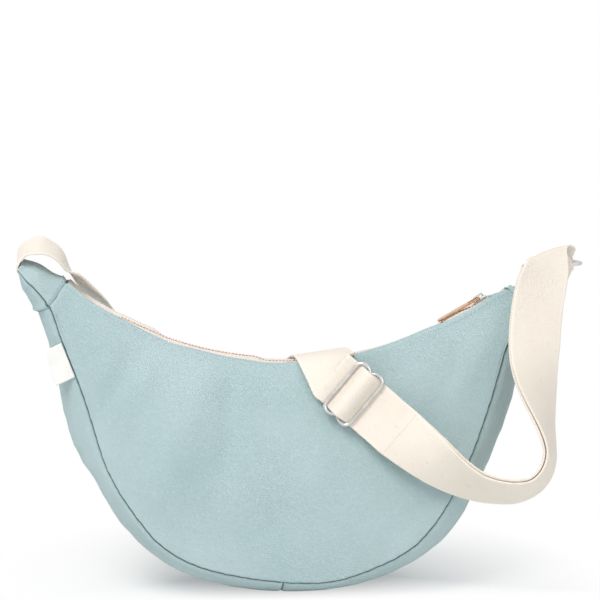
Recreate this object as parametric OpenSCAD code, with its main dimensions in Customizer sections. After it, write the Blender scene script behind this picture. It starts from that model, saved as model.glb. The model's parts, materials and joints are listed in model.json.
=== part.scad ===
// Crescent sling bag: a canvas shell of two panels and a gusset strip, capped tips, a curved zip
// along the top edge and a webbing strap with a wire slider and a wire ring.
// Millimetres. X runs along the bag, -Y is the front, Z is up, the bag stands on Z = 0.

/* [Shell] */
// radius of the curved top edge that the zip follows
top_r = 270; // [240:5:320]
// height of the lowest point of the top edge above the floor
top_z = 180; // [150:5:210]
// half the angle that the zip spans between the two tip caps
top_half_angle = 38.2; // [34:0.2:41]
// distance from the bag's middle to the belly of the seam, along the bag
belly_x = 112; // [100:2:120]
// height of that belly point of the seam
belly_z = 58; // [50:1:66]
// distance from the bag's middle to the seam's end at the tip caps
seam_end_x = 180; // [174:1:188]
// height of the seam's end at the tip caps
seam_end_z = 228; // [220:1:234]
// height of the front and back seams above the floor at the middle
seam_z = 11; // [9:0.5:16]
// depth of the shell between its two seams at the middle
depth = 84; // [70:1:96]
// depth of the shell at the tip caps
tip_depth = 49; // [47:1:53]
// width of the zip opening between the two panels
mouth_w = 24; // [20:1:30]
// how far each panel swells out of its flat line
panel_swell = 9; // [4:0.5:12]
// how far the gusset swells past the seams under the bag
swell_bottom = 15; // [13:0.5:18]
// how far the gusset swells past the seams at the sides
swell_side = 22; // [12:0.5:24]
// how far the gusset swells past the seams at the tip caps
swell_tip = 13; // [8:0.5:16]
// thickness of the canvas wall with its seam allowance
wall = 1.8; // [1.2:0.1:2.4]
// how far the strap's weight pulls the right tip down
right_droop = 23; // [10:1:26]

/* [Tip caps] */
// reach of each cap past the cap seam, along the bag
cap_x = 32; // [27:1:36]
// rise of each cap past the cap seam
cap_rise = 20; // [16:1:24]
// height of the cap's open end, between its top and its side piece
cap_mouth = 10; // [9:0.5:14]

/* [Zip] */
// width across both rows of teeth
chain_w = 5.6; // [5:0.2:7]
// gap between the rows that the slider's neck runs in
chain_gap = 0.9; // [0.7:0.1:1.2]
// height of the teeth
tooth_h = 2.4; // [2:0.1:3]
// pitch of the teeth
tooth_pitch = 3.2; // [2.6:0.1:4]
// thickness of the tape
tape_t = 0.6; // [0.4:0.1:0.8]
// angle of the slider from the bag's middle at rest, with the zip closed
slider_angle = 32.8; // [30:0.2:33]
// length of the slider along the chain
slider_l = 11; // [9:0.5:13]
// thickness of each of the slider's plates
plate_t = 1.2; // [1:0.1:1.6]
// clearance between the slider and what runs in it
run_gap = 0.3; // [0.2:0.05:0.4]
// length of the pull from its pin to its end
pull_l = 36; // [28:1:38]
// width of the pull
pull_w = 7.4; // [6:0.2:9]
// thickness of the pull
pull_t = 1.4; // [1:0.1:1.8]
// angle that the pull lies off the chain, propped on the panels' edges
pull_rest = 3; // [0:0.5:6]

/* [Strap] */
// width of the webbing
strap_w = 40; // [36:1:41]
// thickness of the webbing
strap_t = 1.8; // [1.4:0.1:2.2]
// diameter of the wire of the slider frame and the ring
wire_d = 3; // [2.4:0.1:3.4]
// clearance between each edge of the webbing and the wire frames' short sides
side_gap = 1; // [0.5:0.1:2]
// outer width of the slider frame, along the strap
glide_w = 27; // [26:1:34]
// outer width of the ring
ring_w = 19; // [17:0.5:24]
// clearance between a wire and the webbing wrapped round it
wrap_gap = 0.4; // [0.3:0.1:0.6]
// length of the strap's sewn end past the slider frame's middle bar
sewn_l = 24; // [18:1:30]

/* [Label] */
// place of the label's middle along the seam, from 0 under the bag to 1 at the cap
label_at = 0.868; // [0.8:0.004:0.9]
// length of the blank label along the seam
label_h = 27; // [22:1:32]
// how far the label stands out of the seam
label_w = 15; // [9:1:18]

/* [Hidden] */
$fn = 40;

canvas = [0.72, 0.82, 0.83];
cream = [0.93, 0.90, 0.84];
silver = [0.78, 0.78, 0.80];
copper = [0.86, 0.62, 0.50];

top_c = top_z + top_r;          // height of the centre of the top edge's circle
skin = wall / 2;                // depth of the zip tape below the top edge
zip_r = top_r + skin;           // radius that the tape and the chain lie on

// Curves of the shell, by station:
// u runs from -1 at the left cap seam to 1 at the right one, and to -2 and 2 at the tips' ends

function mix(a, b, t) = a + (b - a) * t;
function clamp01(t) = min(max(t, 0), 1);
function ease(t) = let (q = clamp01(t)) q * q * (3 - 2 * q);
function bez(p, t) = let (s = 1 - t)
    s*s*s*p[0] + 3*s*s*t*p[1] + 3*s*t*t*p[2] + t*t*t*p[3];
function unit(v) = v / norm(v);
function along(u) = min(abs(u), 1);              // share of the way to the cap seam
function in_cap(u) = max(abs(u) - 1, 0);         // share of the way along the cap
function side(u) = u < 0 ? -1 : 1;

// the seam in the XZ plane: a shallow bottom, a round belly, then a straight run up to the tip
belly_dir = [0.636, 0.772];
seam_low = [[0, seam_z], [55, seam_z], [belly_x, belly_z] - 31 * belly_dir, [belly_x, belly_z]];
seam_high = [[belly_x, belly_z], [belly_x, belly_z] + 44 * belly_dir,
    [seam_end_x, seam_end_z] - 69 * [0.406, 0.914], [seam_end_x, seam_end_z]];
belly_at = 0.4;
function seam_xz(s) = s < belly_at ? bez(seam_low, s / belly_at)
                                   : bez(seam_high, (s - belly_at) / (1 - belly_at));
function seam_out(s) = let (a = seam_xz(max(s - 0.01, 0)), b = seam_xz(min(s + 0.01, 1)))
    unit([b[1] - a[1], a[0] - b[0]]);            // square to the seam, pointing out of the bag
function droop(u) = u > 0 ? right_droop * ease((along(u) + 0.27 * in_cap(u) - 0.87) / 0.4) : 0;

function top_at(s) = [top_r * sin(s * top_half_angle), top_c - top_r * cos(s * top_half_angle)];
function swell_at(s) = s < 0.6 ? mix(swell_bottom, swell_side, ease(s / 0.6))
                               : mix(swell_side, swell_tip, ease((s - 0.68) / 0.32));
cap_dir = [cap_x, cap_rise];
// top edge, seam and gusset crown of station u, as XZ of the right half
function top_xz(u) = top_at(along(u)) + in_cap(u) * cap_dir;
cap_end = top_at(1) + cap_dir;
function seam_pt(u) = mix(seam_xz(along(u)), cap_end + cap_mouth * unit([5, -9]), in_cap(u));
function crown_pt(u) = mix(seam_xz(along(u)) + swell_at(along(u)) * seam_out(along(u)),
    cap_end + (cap_mouth + 2.5) * unit([5.4, -9]), in_cap(u));
function half_depth(u) = mix(depth / 2, tip_depth / 2, ease((along(u) - 0.3) / 0.7));
function half_mouth(u) = mix(mouth_w / 2, tip_depth / 2 - 1.5, in_cap(u));
function swell_of(u) = panel_swell * (1 - ease(along(u)) * 0.86) * (1 - in_cap(u));

// The shell as a table of points: a row per station, a column per place round the section
panel_n = 8;
gusset_n = 6;
seam_k = 1 + panel_n;                     // column of the front seam
back_k = seam_k + gusset_n;               // column of the back seam
last_k = back_k + panel_n + 1;            // column of the top's middle again
body_n = 24;
cap_n = 3;

function place(u, xz, y) = [side(u) * xz[0], y, max(xz[1] - droop(u), 0)];
function panel_pt(u, v, sgn) = place(u, mix(top_xz(u), seam_pt(u), v),
    sgn * (mix(half_mouth(u), half_depth(u), v) + swell_of(u) * sin(180 * pow(v, 0.85))));
function gusset_pt(u, w) = place(u, mix(seam_pt(u), crown_pt(u), 1 - pow(abs(w), 2.4)),
    half_depth(u) * w);
function section_pt(u, k) =
    k == 0 || k == last_k ? place(u, top_xz(u) + [0, 0.8 + 2 * in_cap(u)], 0)
    : k <= seam_k ? panel_pt(u, (k - 1) / panel_n, -1)
    : k < back_k ? gusset_pt(u, -1 + 2 * (k - seam_k) / gusset_n)
    : panel_pt(u, (last_k - 1 - k) / panel_n, 1);

stations = [for (i = [-cap_n : -1]) -1 + i / cap_n,
            for (i = [0 : body_n]) -1 + 2 * i / body_n,
            for (i = [1 : cap_n]) 1 + i / cap_n];
first_i = cap_n;                          // station of the left cap seam
mid_i = cap_n + body_n / 2;
last_i = cap_n + body_n;                  // station of the right cap seam
end_i = len(stations) - 1;
outer = [for (u = stations) [for (k = [0 : last_k]) section_pt(u, k)]];
function pick(i, k) = outer[min(max(i, 0), end_i)][min(max(k, 0), last_k)];
inner = [for (i = [0 : end_i]) [for (k = [0 : last_k])
    let (du = pick(i + 1, k) - pick(i - 1, k),
         dk = k == 0 || k == last_k ? [0, -1, 0] : pick(i, k + 1) - pick(i, k - 1),
         n = unit(cross(du, dk)))
    outer[i][k] + wall * (1 - 0.45 * in_cap(stations[i])) * n]];

// one canvas piece: stations i0 to i1, columns k0 to k1, outer and inner faces and four edges
module cloth(i0, i1, k0, k1) {
    ni = i1 - i0 + 1;
    nk = k1 - k0 + 1;
    skins = ni * nk;
    function at(s, i, k) = s * skins + i * nk + k;
    polyhedron(
        points = [for (t = [outer, inner]) for (i = [i0 : i1]) for (k = [k0 : k1]) t[i][k]],
        faces = [
            for (i = [0 : ni - 2]) for (k = [0 : nk - 2]) each [
                [at(0, i, k), at(0, i + 1, k), at(0, i + 1, k + 1)],
                [at(0, i, k), at(0, i + 1, k + 1), at(0, i, k + 1)],
                [at(1, i, k), at(1, i + 1, k + 1), at(1, i + 1, k)],
                [at(1, i, k), at(1, i, k + 1), at(1, i + 1, k + 1)]],
            for (i = [0 : ni - 2]) each [
                [at(0, i + 1, 0), at(0, i, 0), at(1, i, 0)],
                [at(0, i + 1, 0), at(1, i, 0), at(1, i + 1, 0)],
                [at(0, i, nk - 1), at(0, i + 1, nk - 1), at(1, i, nk - 1)],
                [at(0, i + 1, nk - 1), at(1, i + 1, nk - 1), at(1, i, nk - 1)]],
            for (k = [0 : nk - 2]) each [
                [at(0, 0, k), at(0, 0, k + 1), at(1, 0, k)],
                [at(0, 0, k + 1), at(1, 0, k + 1), at(1, 0, k)],
                [at(0, ni - 1, k + 1), at(0, ni - 1, k), at(1, ni - 1, k)],
                [at(0, ni - 1, k + 1), at(1, ni - 1, k), at(1, ni - 1, k + 1)]]]);
}

module front_panel() color(canvas) cloth(first_i, last_i, 1, seam_k);
module back_panel() color(canvas) cloth(first_i, last_i, back_k, last_k - 1);
module gusset_left() color(canvas) cloth(first_i, mid_i, seam_k, back_k);
module gusset_right() color(canvas) cloth(mid_i, last_i, seam_k, back_k);
module cap_left_front() color(canvas) cloth(0, first_i, 0, seam_k);
module cap_left_back() color(canvas) cloth(0, first_i, back_k, last_k);
module cap_left_side() color(canvas) cloth(0, first_i, seam_k, back_k);
module cap_right_front() color(canvas) cloth(last_i, end_i, 0, seam_k);
module cap_right_back() color(canvas) cloth(last_i, end_i, back_k, last_k);
module cap_right_side() color(canvas) cloth(last_i, end_i, seam_k, back_k);

// The zip: a point of the zip's curve at angle a, raised by h towards the centre of the circle
function zip_pt(a, h) = let (r = zip_r - h)
    [r * sin(a), top_c - r * cos(a) - droop(a / top_half_angle)];
zip_end = top_half_angle - 0.25;          // the tape stops just short of the cap seams
stop_l = 3.2;
stop_angle = zip_end - 0.6;               // the stops sit at both ends of the chain
teeth_end = stop_angle - stop_l / zip_r * 57.3;
tape_out = mouth_w / 2 - wall * 0.72;     // the tape's outer edge, against the panel's edge

module on_zip(a) translate([0, 0, top_c]) rotate([0, -a, 0]) translate([0, 0, -zip_r]) children();

tape_n = 24;
module tape(s) color(cream)
    rotate([90, 0, 0]) translate([0, 0, s > 0 ? -tape_out : chain_w / 2])
    linear_extrude(tape_out - chain_w / 2)
    polygon([for (i = [0 : tape_n]) zip_pt(mix(-zip_end, zip_end, i / tape_n), tape_t / 2),
             for (i = [tape_n : -1 : 0]) zip_pt(mix(-zip_end, zip_end, i / tape_n), -tape_t / 2)]);
module zip_tape_front() tape(-1);
module zip_tape_back() tape(1);

// a row of teeth is a comb, cut from one bent strip
tooth_n = floor(2 * teeth_end / 57.3 * zip_r / tooth_pitch);
tooth_step = 2 * teeth_end / tooth_n;
root_h = tooth_h / 2 - 0.9;               // depth of the notches between the teeth
base_n = 30;
module teeth(s) color(copper)
    rotate([90, 0, 0]) translate([0, 0, s > 0 ? -chain_w / 2 : chain_gap / 2])
    linear_extrude((chain_w - chain_gap) / 2)
    polygon([for (i = [0 : tooth_n - 1]) let (a = -teeth_end + i * tooth_step) each [
                 zip_pt(a + 0.05 * tooth_step, root_h), zip_pt(a + 0.05 * tooth_step, tooth_h / 2),
                 zip_pt(a + 0.75 * tooth_step, tooth_h / 2), zip_pt(a + 0.75 * tooth_step, root_h)],
             for (i = [base_n : -1 : 0])
                 zip_pt(mix(-teeth_end, teeth_end, i / base_n), -tooth_h / 2)]);
module zip_teeth_front() teeth(-1);
module zip_teeth_back() teeth(1);

module stop_block(w, y0) translate([-stop_l / 2, y0, -tooth_h / 2 - 0.2])
    cube([stop_l, w, tooth_h + 0.4]);
module zip_bottom_stop() color(copper)
    on_zip(-teeth_end - stop_l / 2 / zip_r * 57.3 - 0.02) stop_block(chain_w, -chain_w / 2);
module zip_top_stops() color(copper)
    translate([0, 0, -droop(stop_angle / top_half_angle)])
    on_zip(teeth_end + stop_l / 2 / zip_r * 57.3 + 0.16)
    for (s = [0, 1]) mirror([0, s, 0]) stop_block((chain_w - chain_gap) / 2, chain_gap / 2);

// the slider: two plates joined by a neck at the open end, with lips round the chain
plate_w = chain_w + 3.4;
plate_z = tooth_h / 2 + run_gap;          // inner face of each plate
lip_z = tape_t / 2 + run_gap;             // edge of the lips, either side of the tape
pin_r = 0.8;
pin_z = plate_z + plate_t + run_gap + pull_t / 2 + 0.1;
bridge_t = 1.2;
bridge_z = pin_z + pin_r + run_gap;       // underside of the bridge that holds the pull

module slider_plate() {
    translate([0, 0, plate_z]) linear_extrude(plate_t)
        polygon([[-slider_l / 2, -plate_w / 2 + 0.9], [slider_l / 2 - 2, -plate_w / 2],
                 [slider_l / 2, -plate_w / 2 + 1.4], [slider_l / 2, plate_w / 2 - 1.4],
                 [slider_l / 2 - 2, plate_w / 2], [-slider_l / 2, plate_w / 2 - 0.9]]);
    for (s = [0, 1]) mirror([0, s, 0])
        translate([0, 0, lip_z]) linear_extrude(plate_z - lip_z + 0.2)
        polygon([[-slider_l / 2, plate_w / 2 - 0.9], [slider_l / 2 - 2, plate_w / 2],
                 [slider_l / 2 - 2, plate_w / 2 - 0.9], [-slider_l / 2, plate_w / 2 - 1.7]]);
}
module zip_slider() color(silver) on_zip(slider_angle) {
    slider_plate();
    mirror([0, 0, 1]) slider_plate();
    translate([slider_l / 2 - 3, -chain_gap / 2 + 0.2, -plate_z - 0.2])
        cube([2.6, chain_gap - 0.4, 2 * plate_z + 0.4]);
    for (s = [-1, 1]) translate([s * 3.3 - bridge_t / 2, -0.9, plate_z + plate_t - 0.2])
        cube([bridge_t, 1.8, bridge_z + bridge_t - plate_z - plate_t + 0.2]);
    translate([-3.3 - bridge_t / 2, -0.9, bridge_z]) cube([6.6 + bridge_t, 1.8, bridge_t]);
}

// the pull: a pin under the bridge, two arms and a rounded blade with a cut window
arm_w = 1.3;
pull_neck = 9;                            // from the pin to the blade
module zip_pull() color(copper)
    on_zip(slider_angle) translate([0, 0, pin_z]) rotate([0, pull_rest, 0]) {
    rotate([90, 0, 0]) translate([0, 0, -pull_w / 2 + 1]) cylinder(r = pin_r, h = pull_w - 2);
    translate([0, 0, -pull_t / 2]) linear_extrude(pull_t) difference() {
        union() {
            translate([-pull_l + 3, -pull_w / 2 + 0.4]) square([pull_l - 3, pull_w - 0.8]);
            translate([-pull_l + pull_w / 2, 0]) circle(d = pull_w);
            translate([-pull_l + pull_w / 2, -pull_w / 2]) square([pull_l - pull_neck - 6, pull_w]);
        }
        translate([-pull_neck, -pull_w / 2 + 0.4 + arm_w])
            square([pull_neck + 1, pull_w - 0.8 - 2 * arm_w]);
    }
}

// The label, a bare folded tab caught in the left front seam
module label() color([0.97, 0.97, 0.96]) {
    a = seam_pt(label_at - 0.045);
    b = seam_pt(label_at + 0.045);
    lean = atan2(b[0] - a[0], b[1] - a[1]);
    mid = seam_pt(label_at);
    translate([-mid[0] - 2, -half_depth(label_at) - 0.3, mid[1]]) rotate([90, 0, 0])
        linear_extrude(0.9) rotate(lean)
        polygon([[0, label_h / 2], [0, -label_h / 2], [-label_w, -label_h / 2 - 1],
                 [-label_w + 2.5, label_h / 2 - 1]]);
}

// The wire frames, with bends at their corners
wire_fn = 24;
frame_l = strap_w + 2 * (side_gap + wire_d);  // outer length of both frames, across the webbing
module wire_frame(l, w, d) {
    $fn = wire_fn;
    c = 3.5;                              // bend of the wire at the corners
    x = l / 2 - d / 2;
    y = w / 2 - d / 2;
    for (s = [-1, 1]) {
        translate([-x + c, s * y, 0]) rotate([0, 90, 0]) cylinder(d = d, h = 2 * (x - c));
        translate([s * x, -y + c, 0]) rotate([-90, 0, 0]) cylinder(d = d, h = 2 * (y - c));
    }
    for (a = [0 : 90 : 270]) let (sx = a == 0 || a == 270 ? 1 : -1, sy = a < 180 ? 1 : -1)
        translate([sx * (x - c), sy * (y - c), 0]) rotate(a)
            rotate_extrude(angle = 90) translate([c, 0]) circle(d = d);
}

// the slider frame lies on the strap: its own X is across the strap, its own -Y runs down it
glide_at = [45.5, -36, 159];
glide_turn = 50;
glide_lean = 72;
module on_glide() translate(glide_at) rotate([glide_lean, -glide_turn, 0]) children();
module tri_glide() color(silver) on_glide() {
    wire_frame(frame_l, glide_w, wire_d);
    translate([-frame_l / 2 + wire_d / 2, 0, 0]) rotate([0, 90, 0])
        cylinder(d = wire_d, h = frame_l - wire_d, $fn = wire_fn);
}

// the ring lies over the right tip, with the tab round one long bar and the strap round the other
ring_at = [199.1, 0.9, 249];
ring_turn = 20;
ring_roll = 5;
bar_y = ring_w / 2 - wire_d / 2;
module on_ring() translate(ring_at) rotate([0, -ring_roll, ring_turn]) children();
module strap_ring() color(silver) on_ring() wire_frame(frame_l, ring_w, wire_d);

// The webbing: a run of it through rows of [centre, direction across]; a direction may be longer than 1
// where the rows cross the strap aslant
function spline(a, b, c, d, t) = 0.5 * (2 * b + (c - a) * t + (2 * a - 5 * b + 4 * c - d) * t * t
    + (3 * b - a - 3 * c + d) * t * t * t);
function fine(rows, n) = let (m = len(rows) - 1) [
    for (i = [0 : m - 1]) for (j = [0 : n - 1])
        let (a = rows[max(i - 1, 0)], b = rows[i], c = rows[i + 1], d = rows[min(i + 2, m)])
        [spline(a[0], b[0], c[0], d[0], j / n), spline(a[1], b[1], c[1], d[1], j / n)],
    rows[m]];
// the same run moved off by h along its own face
function face_of(rows, i) = let (m = len(rows) - 1,
    t = rows[min(i + 1, m)][0] - rows[max(i - 1, 0)][0]) unit(cross(t, rows[i][1]));
function moved(rows, h) = [for (i = [0 : len(rows) - 1])
    [rows[i][0] + h * face_of(rows, i), rows[i][1]]];
function part_of(rows, a, b) = [for (i = [a : b]) rows[i]];

module webbing(rows, from, to, thick = []) {
    m = to - from;
    h = strap_w / 2;
    ring = [for (j = [0 : m]) let (i = from + j, n = face_of(rows, i), c = rows[i][0],
        w = rows[i][1] * h,
        t = (j < len(thick) ? thick[j] : len(thick) > 0 ? 2 * strap_t : strap_t) / 2)
        each [c - w - n * t, c + w - n * t, c + w + n * t, c - w + n * t]];
    polyhedron(points = ring, faces = [
        [0, 1, 2], [0, 2, 3],
        [4 * m + 2, 4 * m + 1, 4 * m], [4 * m + 3, 4 * m + 2, 4 * m],
        for (i = [0 : m - 1]) for (k = [0 : 3]) let (p = 4 * i + k, q = 4 * i + (k + 1) % 4)
            each k < 2 ? [[q, p, p + 4], [q, p + 4, q + 4]] : [[q, p, q + 4], [p, p + 4, q + 4]]]);
}

// out of the left tip, over in an arch, behind the bag in a hanging loop and up to the top edge
rear_rows = [
    [[-183, 0, 230.5], [0, 1, 0]], [[-192, 0, 240.5], [0, 1, 0]], [[-203, 0, 251.5], [0, 1, 0]],
    [[-204.5, 0, 258.5], [-0.1, 0.99, 0]], [[-200, 0, 266.5], [-0.15, 0.97, 0.1]],
    [[-189, 0, 270], [0, 0.97, 0.25]], [[-179, 3, 267], [0.04, 0.97, 0.25]],
    [[-170, 9, 260], [0.08, 0.99, 0.1]], [[-163, 16, 250], [0.14, 0.98, -0.08]],
    [[-152, 28, 231], [0.26, 0.94, -0.22]], [[-140, 37, 214], [0.26, 0.93, -0.27]],
    [[-126, 46, 195], [0.25, 0.93, -0.28]], [[-107, 57, 168], [0.2, 0.95, -0.24]],
    [[-82, 65, 140], [0.1, 0.98, -0.12]], [[-52, 68, 123], [0, 1, 0]],
    [[-22, 67, 124], [-0.12, 0.98, 0.12]], [[-3, 61, 140], [-0.38, 0.9, 0.2]],
    [[8, 48, 158], [-0.72, 0.66, 0.12]], [[15, 32, 172], [-0.93, 0.34, -0.05]],
    [[20, 16, 181.5], [-0.98, 0.1, -0.12]]];
// over the top edge and down to the slider frame
cross_rows = [
    [[23, 1, 186.2], [-1, 0, -0.14]], [[25.5, -12, 184.6], [-1, -0.1, -0.18]],
    [[28, -22, 177.5], [-0.88, -0.08, -0.5]]];
wrap_in = wire_d / 2 + wrap_gap;
// along the slider frame, in its own axes: [distance down the strap, height off the frame]
bar_at = (glide_w - wire_d) / 2;           // from the frame's middle bar to each outer bar
over_z = wire_d / 2 + wrap_gap + 1.5 * strap_t + 0.4;
under_z = -wire_d / 2 - strap_t / 2 - 0.5;
inner_z = under_z - strap_t - 0.7;        // the inner layer, clear of the outer one
sewn_z = under_z - 1.5 * strap_t - 0.5;   // middle of the doubled sewn end
weave = [[-bar_at - 10, under_z + 1.3], [-bar_at - 4, under_z + 0.5], [-bar_at, under_z],
    [-0.65 * bar_at, under_z + 1.8], [-4, over_z - 1.8], [0, over_z], [4, over_z - 1.8],
    [0.65 * bar_at, under_z + 1.8], [bar_at, under_z], [bar_at + 6, under_z],
    [bar_at + 20, under_z + 0.2], [bar_at + 33.5, under_z + 0.3]];
tail = [[sewn_l, inner_z], [sewn_l + 10, inner_z + 0.1], [sewn_l + 22, inner_z + 0.2]];
glide_x = [cos(glide_turn), 0, sin(glide_turn)];
glide_y = [-sin(glide_turn) * sin(glide_lean), cos(glide_lean), cos(glide_turn) * sin(glide_lean)];
glide_z = cross(glide_x, glide_y);
function glide_row(p) = [glide_at - p[0] * glide_y + p[1] * glide_z, -glide_x];
weave_rows = [for (p = weave) glide_row(p)];
tail_rows = [for (p = tail) glide_row(p)];
// the doubled run: down to the right, round the low loop and up to the ring
loop_rows = [
    [[100, -59, 114], [-0.5, 0.45, -0.74]], [[117, -60, 101.5], [-0.28, 0.64, -0.71]],
    [[134, -60.5, 92.5], [-0.08, 0.75, -0.65]], [[150, -61, 88.5], [0.06, 0.79, -0.61]],
    [[165, -62, 88], [0.15, 0.81, -0.57]], [[178, -61, 92], [0.27, 0.84, -0.47]],
    [[187, -59, 101], [0.33, 0.86, -0.39]], [[191, -57, 113], [0.35, 0.88, -0.31]],
    [[190.5, -54.5, 125], [0.38, 0.91, -0.19]], [[188, -52, 137], [0.48, 0.86, -0.18]],
    [[185, -50, 150], [0.64, 0.76, -0.15]], [[182, -48, 164], [0.8, 0.59, -0.11]],
    [[180, -46, 179], [0.91, 0.4, -0.07]], [[180, -43, 194], [0.97, 0.23, -0.05]],
    [[181, -40, 208], [0.98, 0.19, -0.03]], [[183, -36.5, 223], [0.98, 0.18, -0.02]],
    [[186.5, -33, 240], [0.98, 0.19, 0]], [[190, -30, 252.5], [0.95, 0.3, 0.05]],
    [[193.5, -24, 260.5], [0.9, 0.42, 0.1]]];
crest_row = [[196, -15.5, 263.5], [0.92, 0.36, 0.14]];
layer_gap = 2.6;                          // from the middle of one layer to the middle of the other
// where the two layers come down to the ring's bar, in the ring's own axes: [y, z] of each
bend_in = wire_d / 2 + wrap_gap + 0.7;    // inner radius of the strap's bend, loose on its bar
bend_mid = bend_in + strap_t / 2;
leg_l = 4;
ring_x = [cos(ring_turn) * cos(ring_roll), sin(ring_turn) * cos(ring_roll), sin(ring_roll)];
ring_y = [-sin(ring_turn), cos(ring_turn), 0];
ring_z = cross(ring_x, ring_y);
function ring_row(y, z) = [ring_at + y * ring_y + z * ring_z, ring_x];
outer_leg = ring_row(-bar_y + bend_mid, leg_l);
inner_leg = ring_row(-bar_y - bend_mid, leg_l);

// the whole outer strap as one list of rows, cut where its pieces meet
strap_rows = concat(fine(concat(rear_rows, cross_rows, weave_rows, loop_rows, [crest_row,
    outer_leg + [[0, -2.5, 6.4], [0, 0, 0.02]], outer_leg + [1.4 * ring_z, [0, 0, 0]]]), 3),
    [outer_leg]);
rear_end = 3 * (len(rear_rows) - 1);
span_end = rear_end + 3 * (len(cross_rows) + len(weave_rows));
near_end = span_end + 3 * len(loop_rows);
module strap_rear_run() color(cream) webbing(strap_rows, 0, rear_end);
module strap_front_span() color(cream) webbing(strap_rows, rear_end, span_end);
module strap_outer_layer() color(cream) webbing(strap_rows, span_end, len(strap_rows) - 1);

// the inner layer follows the outer one at a set gap
inner_rows = concat(fine(tail_rows, 2), part_of(moved(strap_rows, layer_gap), span_end + 1,
    near_end - 1), [[crest_row[0] + [0, -1.5, -3], crest_row[1]],
    inner_leg + [1.4 * ring_z, [0, 0, 0]], inner_leg]);
tail_end = 2 * (len(tail_rows) - 1);
module strap_inner_span() color(cream) webbing(inner_rows, 0, tail_end);
module strap_inner_layer() color(cream) webbing(inner_rows, tail_end, len(inner_rows) - 1);

// a half turn of webbing round a bar along X, with its two legs pointing up
module wrap(r_in, leg_a, leg_b) rotate([90, 0, 90]) translate([0, 0, -strap_w / 2])
    linear_extrude(strap_w) {
        difference() {
            circle(r = r_in + strap_t);
            circle(r = r_in);
            translate([-r_in - strap_t - 1, 0]) square([2 * (r_in + strap_t + 1), r_in + strap_t + 1]);
        }
        translate([-r_in - strap_t, -0.01]) square([strap_t, leg_a + 0.01]);
        translate([r_in, -0.01]) square([strap_t, leg_b + 0.01]);
    }
module strap_ring_bend() color(cream) on_ring() translate([0, -bar_y, 0])
    wrap(bend_in, leg_l, leg_l);
// the strap's sewn end goes round the slider frame's middle bar and back under the inner layer
sewn_top = sewn_z + strap_t;
sewn_foot = sewn_z - strap_t;
wrap_out = wrap_in + strap_t;
module strap_sewn_end() color(cream)
    on_glide() rotate([90, 0, -90]) translate([0, 0, -strap_w / 2]) linear_extrude(strap_w)
    difference() {
        polygon([[9, sewn_foot], [sewn_l - 0.1, sewn_foot], [sewn_l - 0.1, sewn_top], [9, sewn_top],
                 for (a = [50 : 10 : 280]) wrap_out * [cos(a), sin(a)]]);
        circle(r = wrap_in);
        polygon([[0.2, 0.8 * wrap_in], [7, (sewn_top + sewn_foot) / 2 + 0.6], [-0.2, -0.8 * wrap_in]]);
    }
// the tab comes out of the right tip, goes round the ring's bar and back in
tab_tilt = 155;
right_tip = [cap_end[0], 0, cap_end[1] - right_droop];
tab_rows = [[right_tip + [-7.6, 0, -11.2], [0, 1, 0]], [right_tip + [3.2, 0, -5.2], [0, 1, 0]],
    [right_tip + [7.5, 0.5, 0], [0.15, 0.99, 0]], [ring_at + [2.6, 5.4, -8.2], [0.75, 0.66, 0.04]]];
function tab_leg(r) = [ring_at + (bar_y - r * sin(tab_tilt)) * ring_y
    + r * cos(tab_tilt) * ring_z, ring_x];
module ring_tab() color(cream) {
    on_ring() translate([0, bar_y, 0]) rotate([tab_tilt, 0, 0]) wrap(wrap_in, 3, 3);
    webbing(concat([tab_leg(2.6), tab_leg(5)], [for (i = [3 : -1 : 0]) tab_rows[i]]), 0, 5,
        [2 * (wrap_in + strap_t) - 0.6, 5]);
}

front_panel();
back_panel();
gusset_left();
gusset_right();
cap_left_front();
cap_left_back();
cap_left_side();
cap_right_front();
cap_right_back();
cap_right_side();
zip_tape_front();
zip_tape_back();
zip_teeth_front();
zip_teeth_back();
zip_bottom_stop();
zip_top_stops();
zip_slider();
zip_pull();
label();
strap_rear_run();
strap_front_span();
strap_outer_layer();
strap_ring_bend();
strap_inner_layer();
strap_inner_span();
strap_sewn_end();
tri_glide();
ring_tab();
strap_ring();
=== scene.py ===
"""Looks for the crescent sling bag: twill canvas shell, copper-coloured zip, webbing strap, wire fittings.

Lengths are worked out in millimetres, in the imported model's frame, and become metres in the meshes.
"""

import json
import math

import bmesh
import bpy
import numpy as np
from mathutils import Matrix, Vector

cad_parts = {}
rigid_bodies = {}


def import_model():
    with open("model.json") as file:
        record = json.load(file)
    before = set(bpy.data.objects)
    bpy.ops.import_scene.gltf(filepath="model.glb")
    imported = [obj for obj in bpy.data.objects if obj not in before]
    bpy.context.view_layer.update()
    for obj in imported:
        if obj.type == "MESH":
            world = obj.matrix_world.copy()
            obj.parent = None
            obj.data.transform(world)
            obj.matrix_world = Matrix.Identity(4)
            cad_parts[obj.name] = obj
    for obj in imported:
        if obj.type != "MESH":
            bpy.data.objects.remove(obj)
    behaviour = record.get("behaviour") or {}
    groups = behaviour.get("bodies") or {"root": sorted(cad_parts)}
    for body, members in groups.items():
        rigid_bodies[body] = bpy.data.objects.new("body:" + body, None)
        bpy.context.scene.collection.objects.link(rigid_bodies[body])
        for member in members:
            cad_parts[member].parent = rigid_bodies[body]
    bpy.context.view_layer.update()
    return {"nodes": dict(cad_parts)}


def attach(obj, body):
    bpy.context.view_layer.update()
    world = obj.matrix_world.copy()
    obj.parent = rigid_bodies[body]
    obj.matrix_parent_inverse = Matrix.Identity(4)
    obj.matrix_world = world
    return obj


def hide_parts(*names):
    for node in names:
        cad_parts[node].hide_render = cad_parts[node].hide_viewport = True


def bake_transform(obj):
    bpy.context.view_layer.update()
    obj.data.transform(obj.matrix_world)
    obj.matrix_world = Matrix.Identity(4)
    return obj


for leftover in list(bpy.data.objects):
    bpy.data.objects.remove(leftover)
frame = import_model()
MM = 0.001

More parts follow.
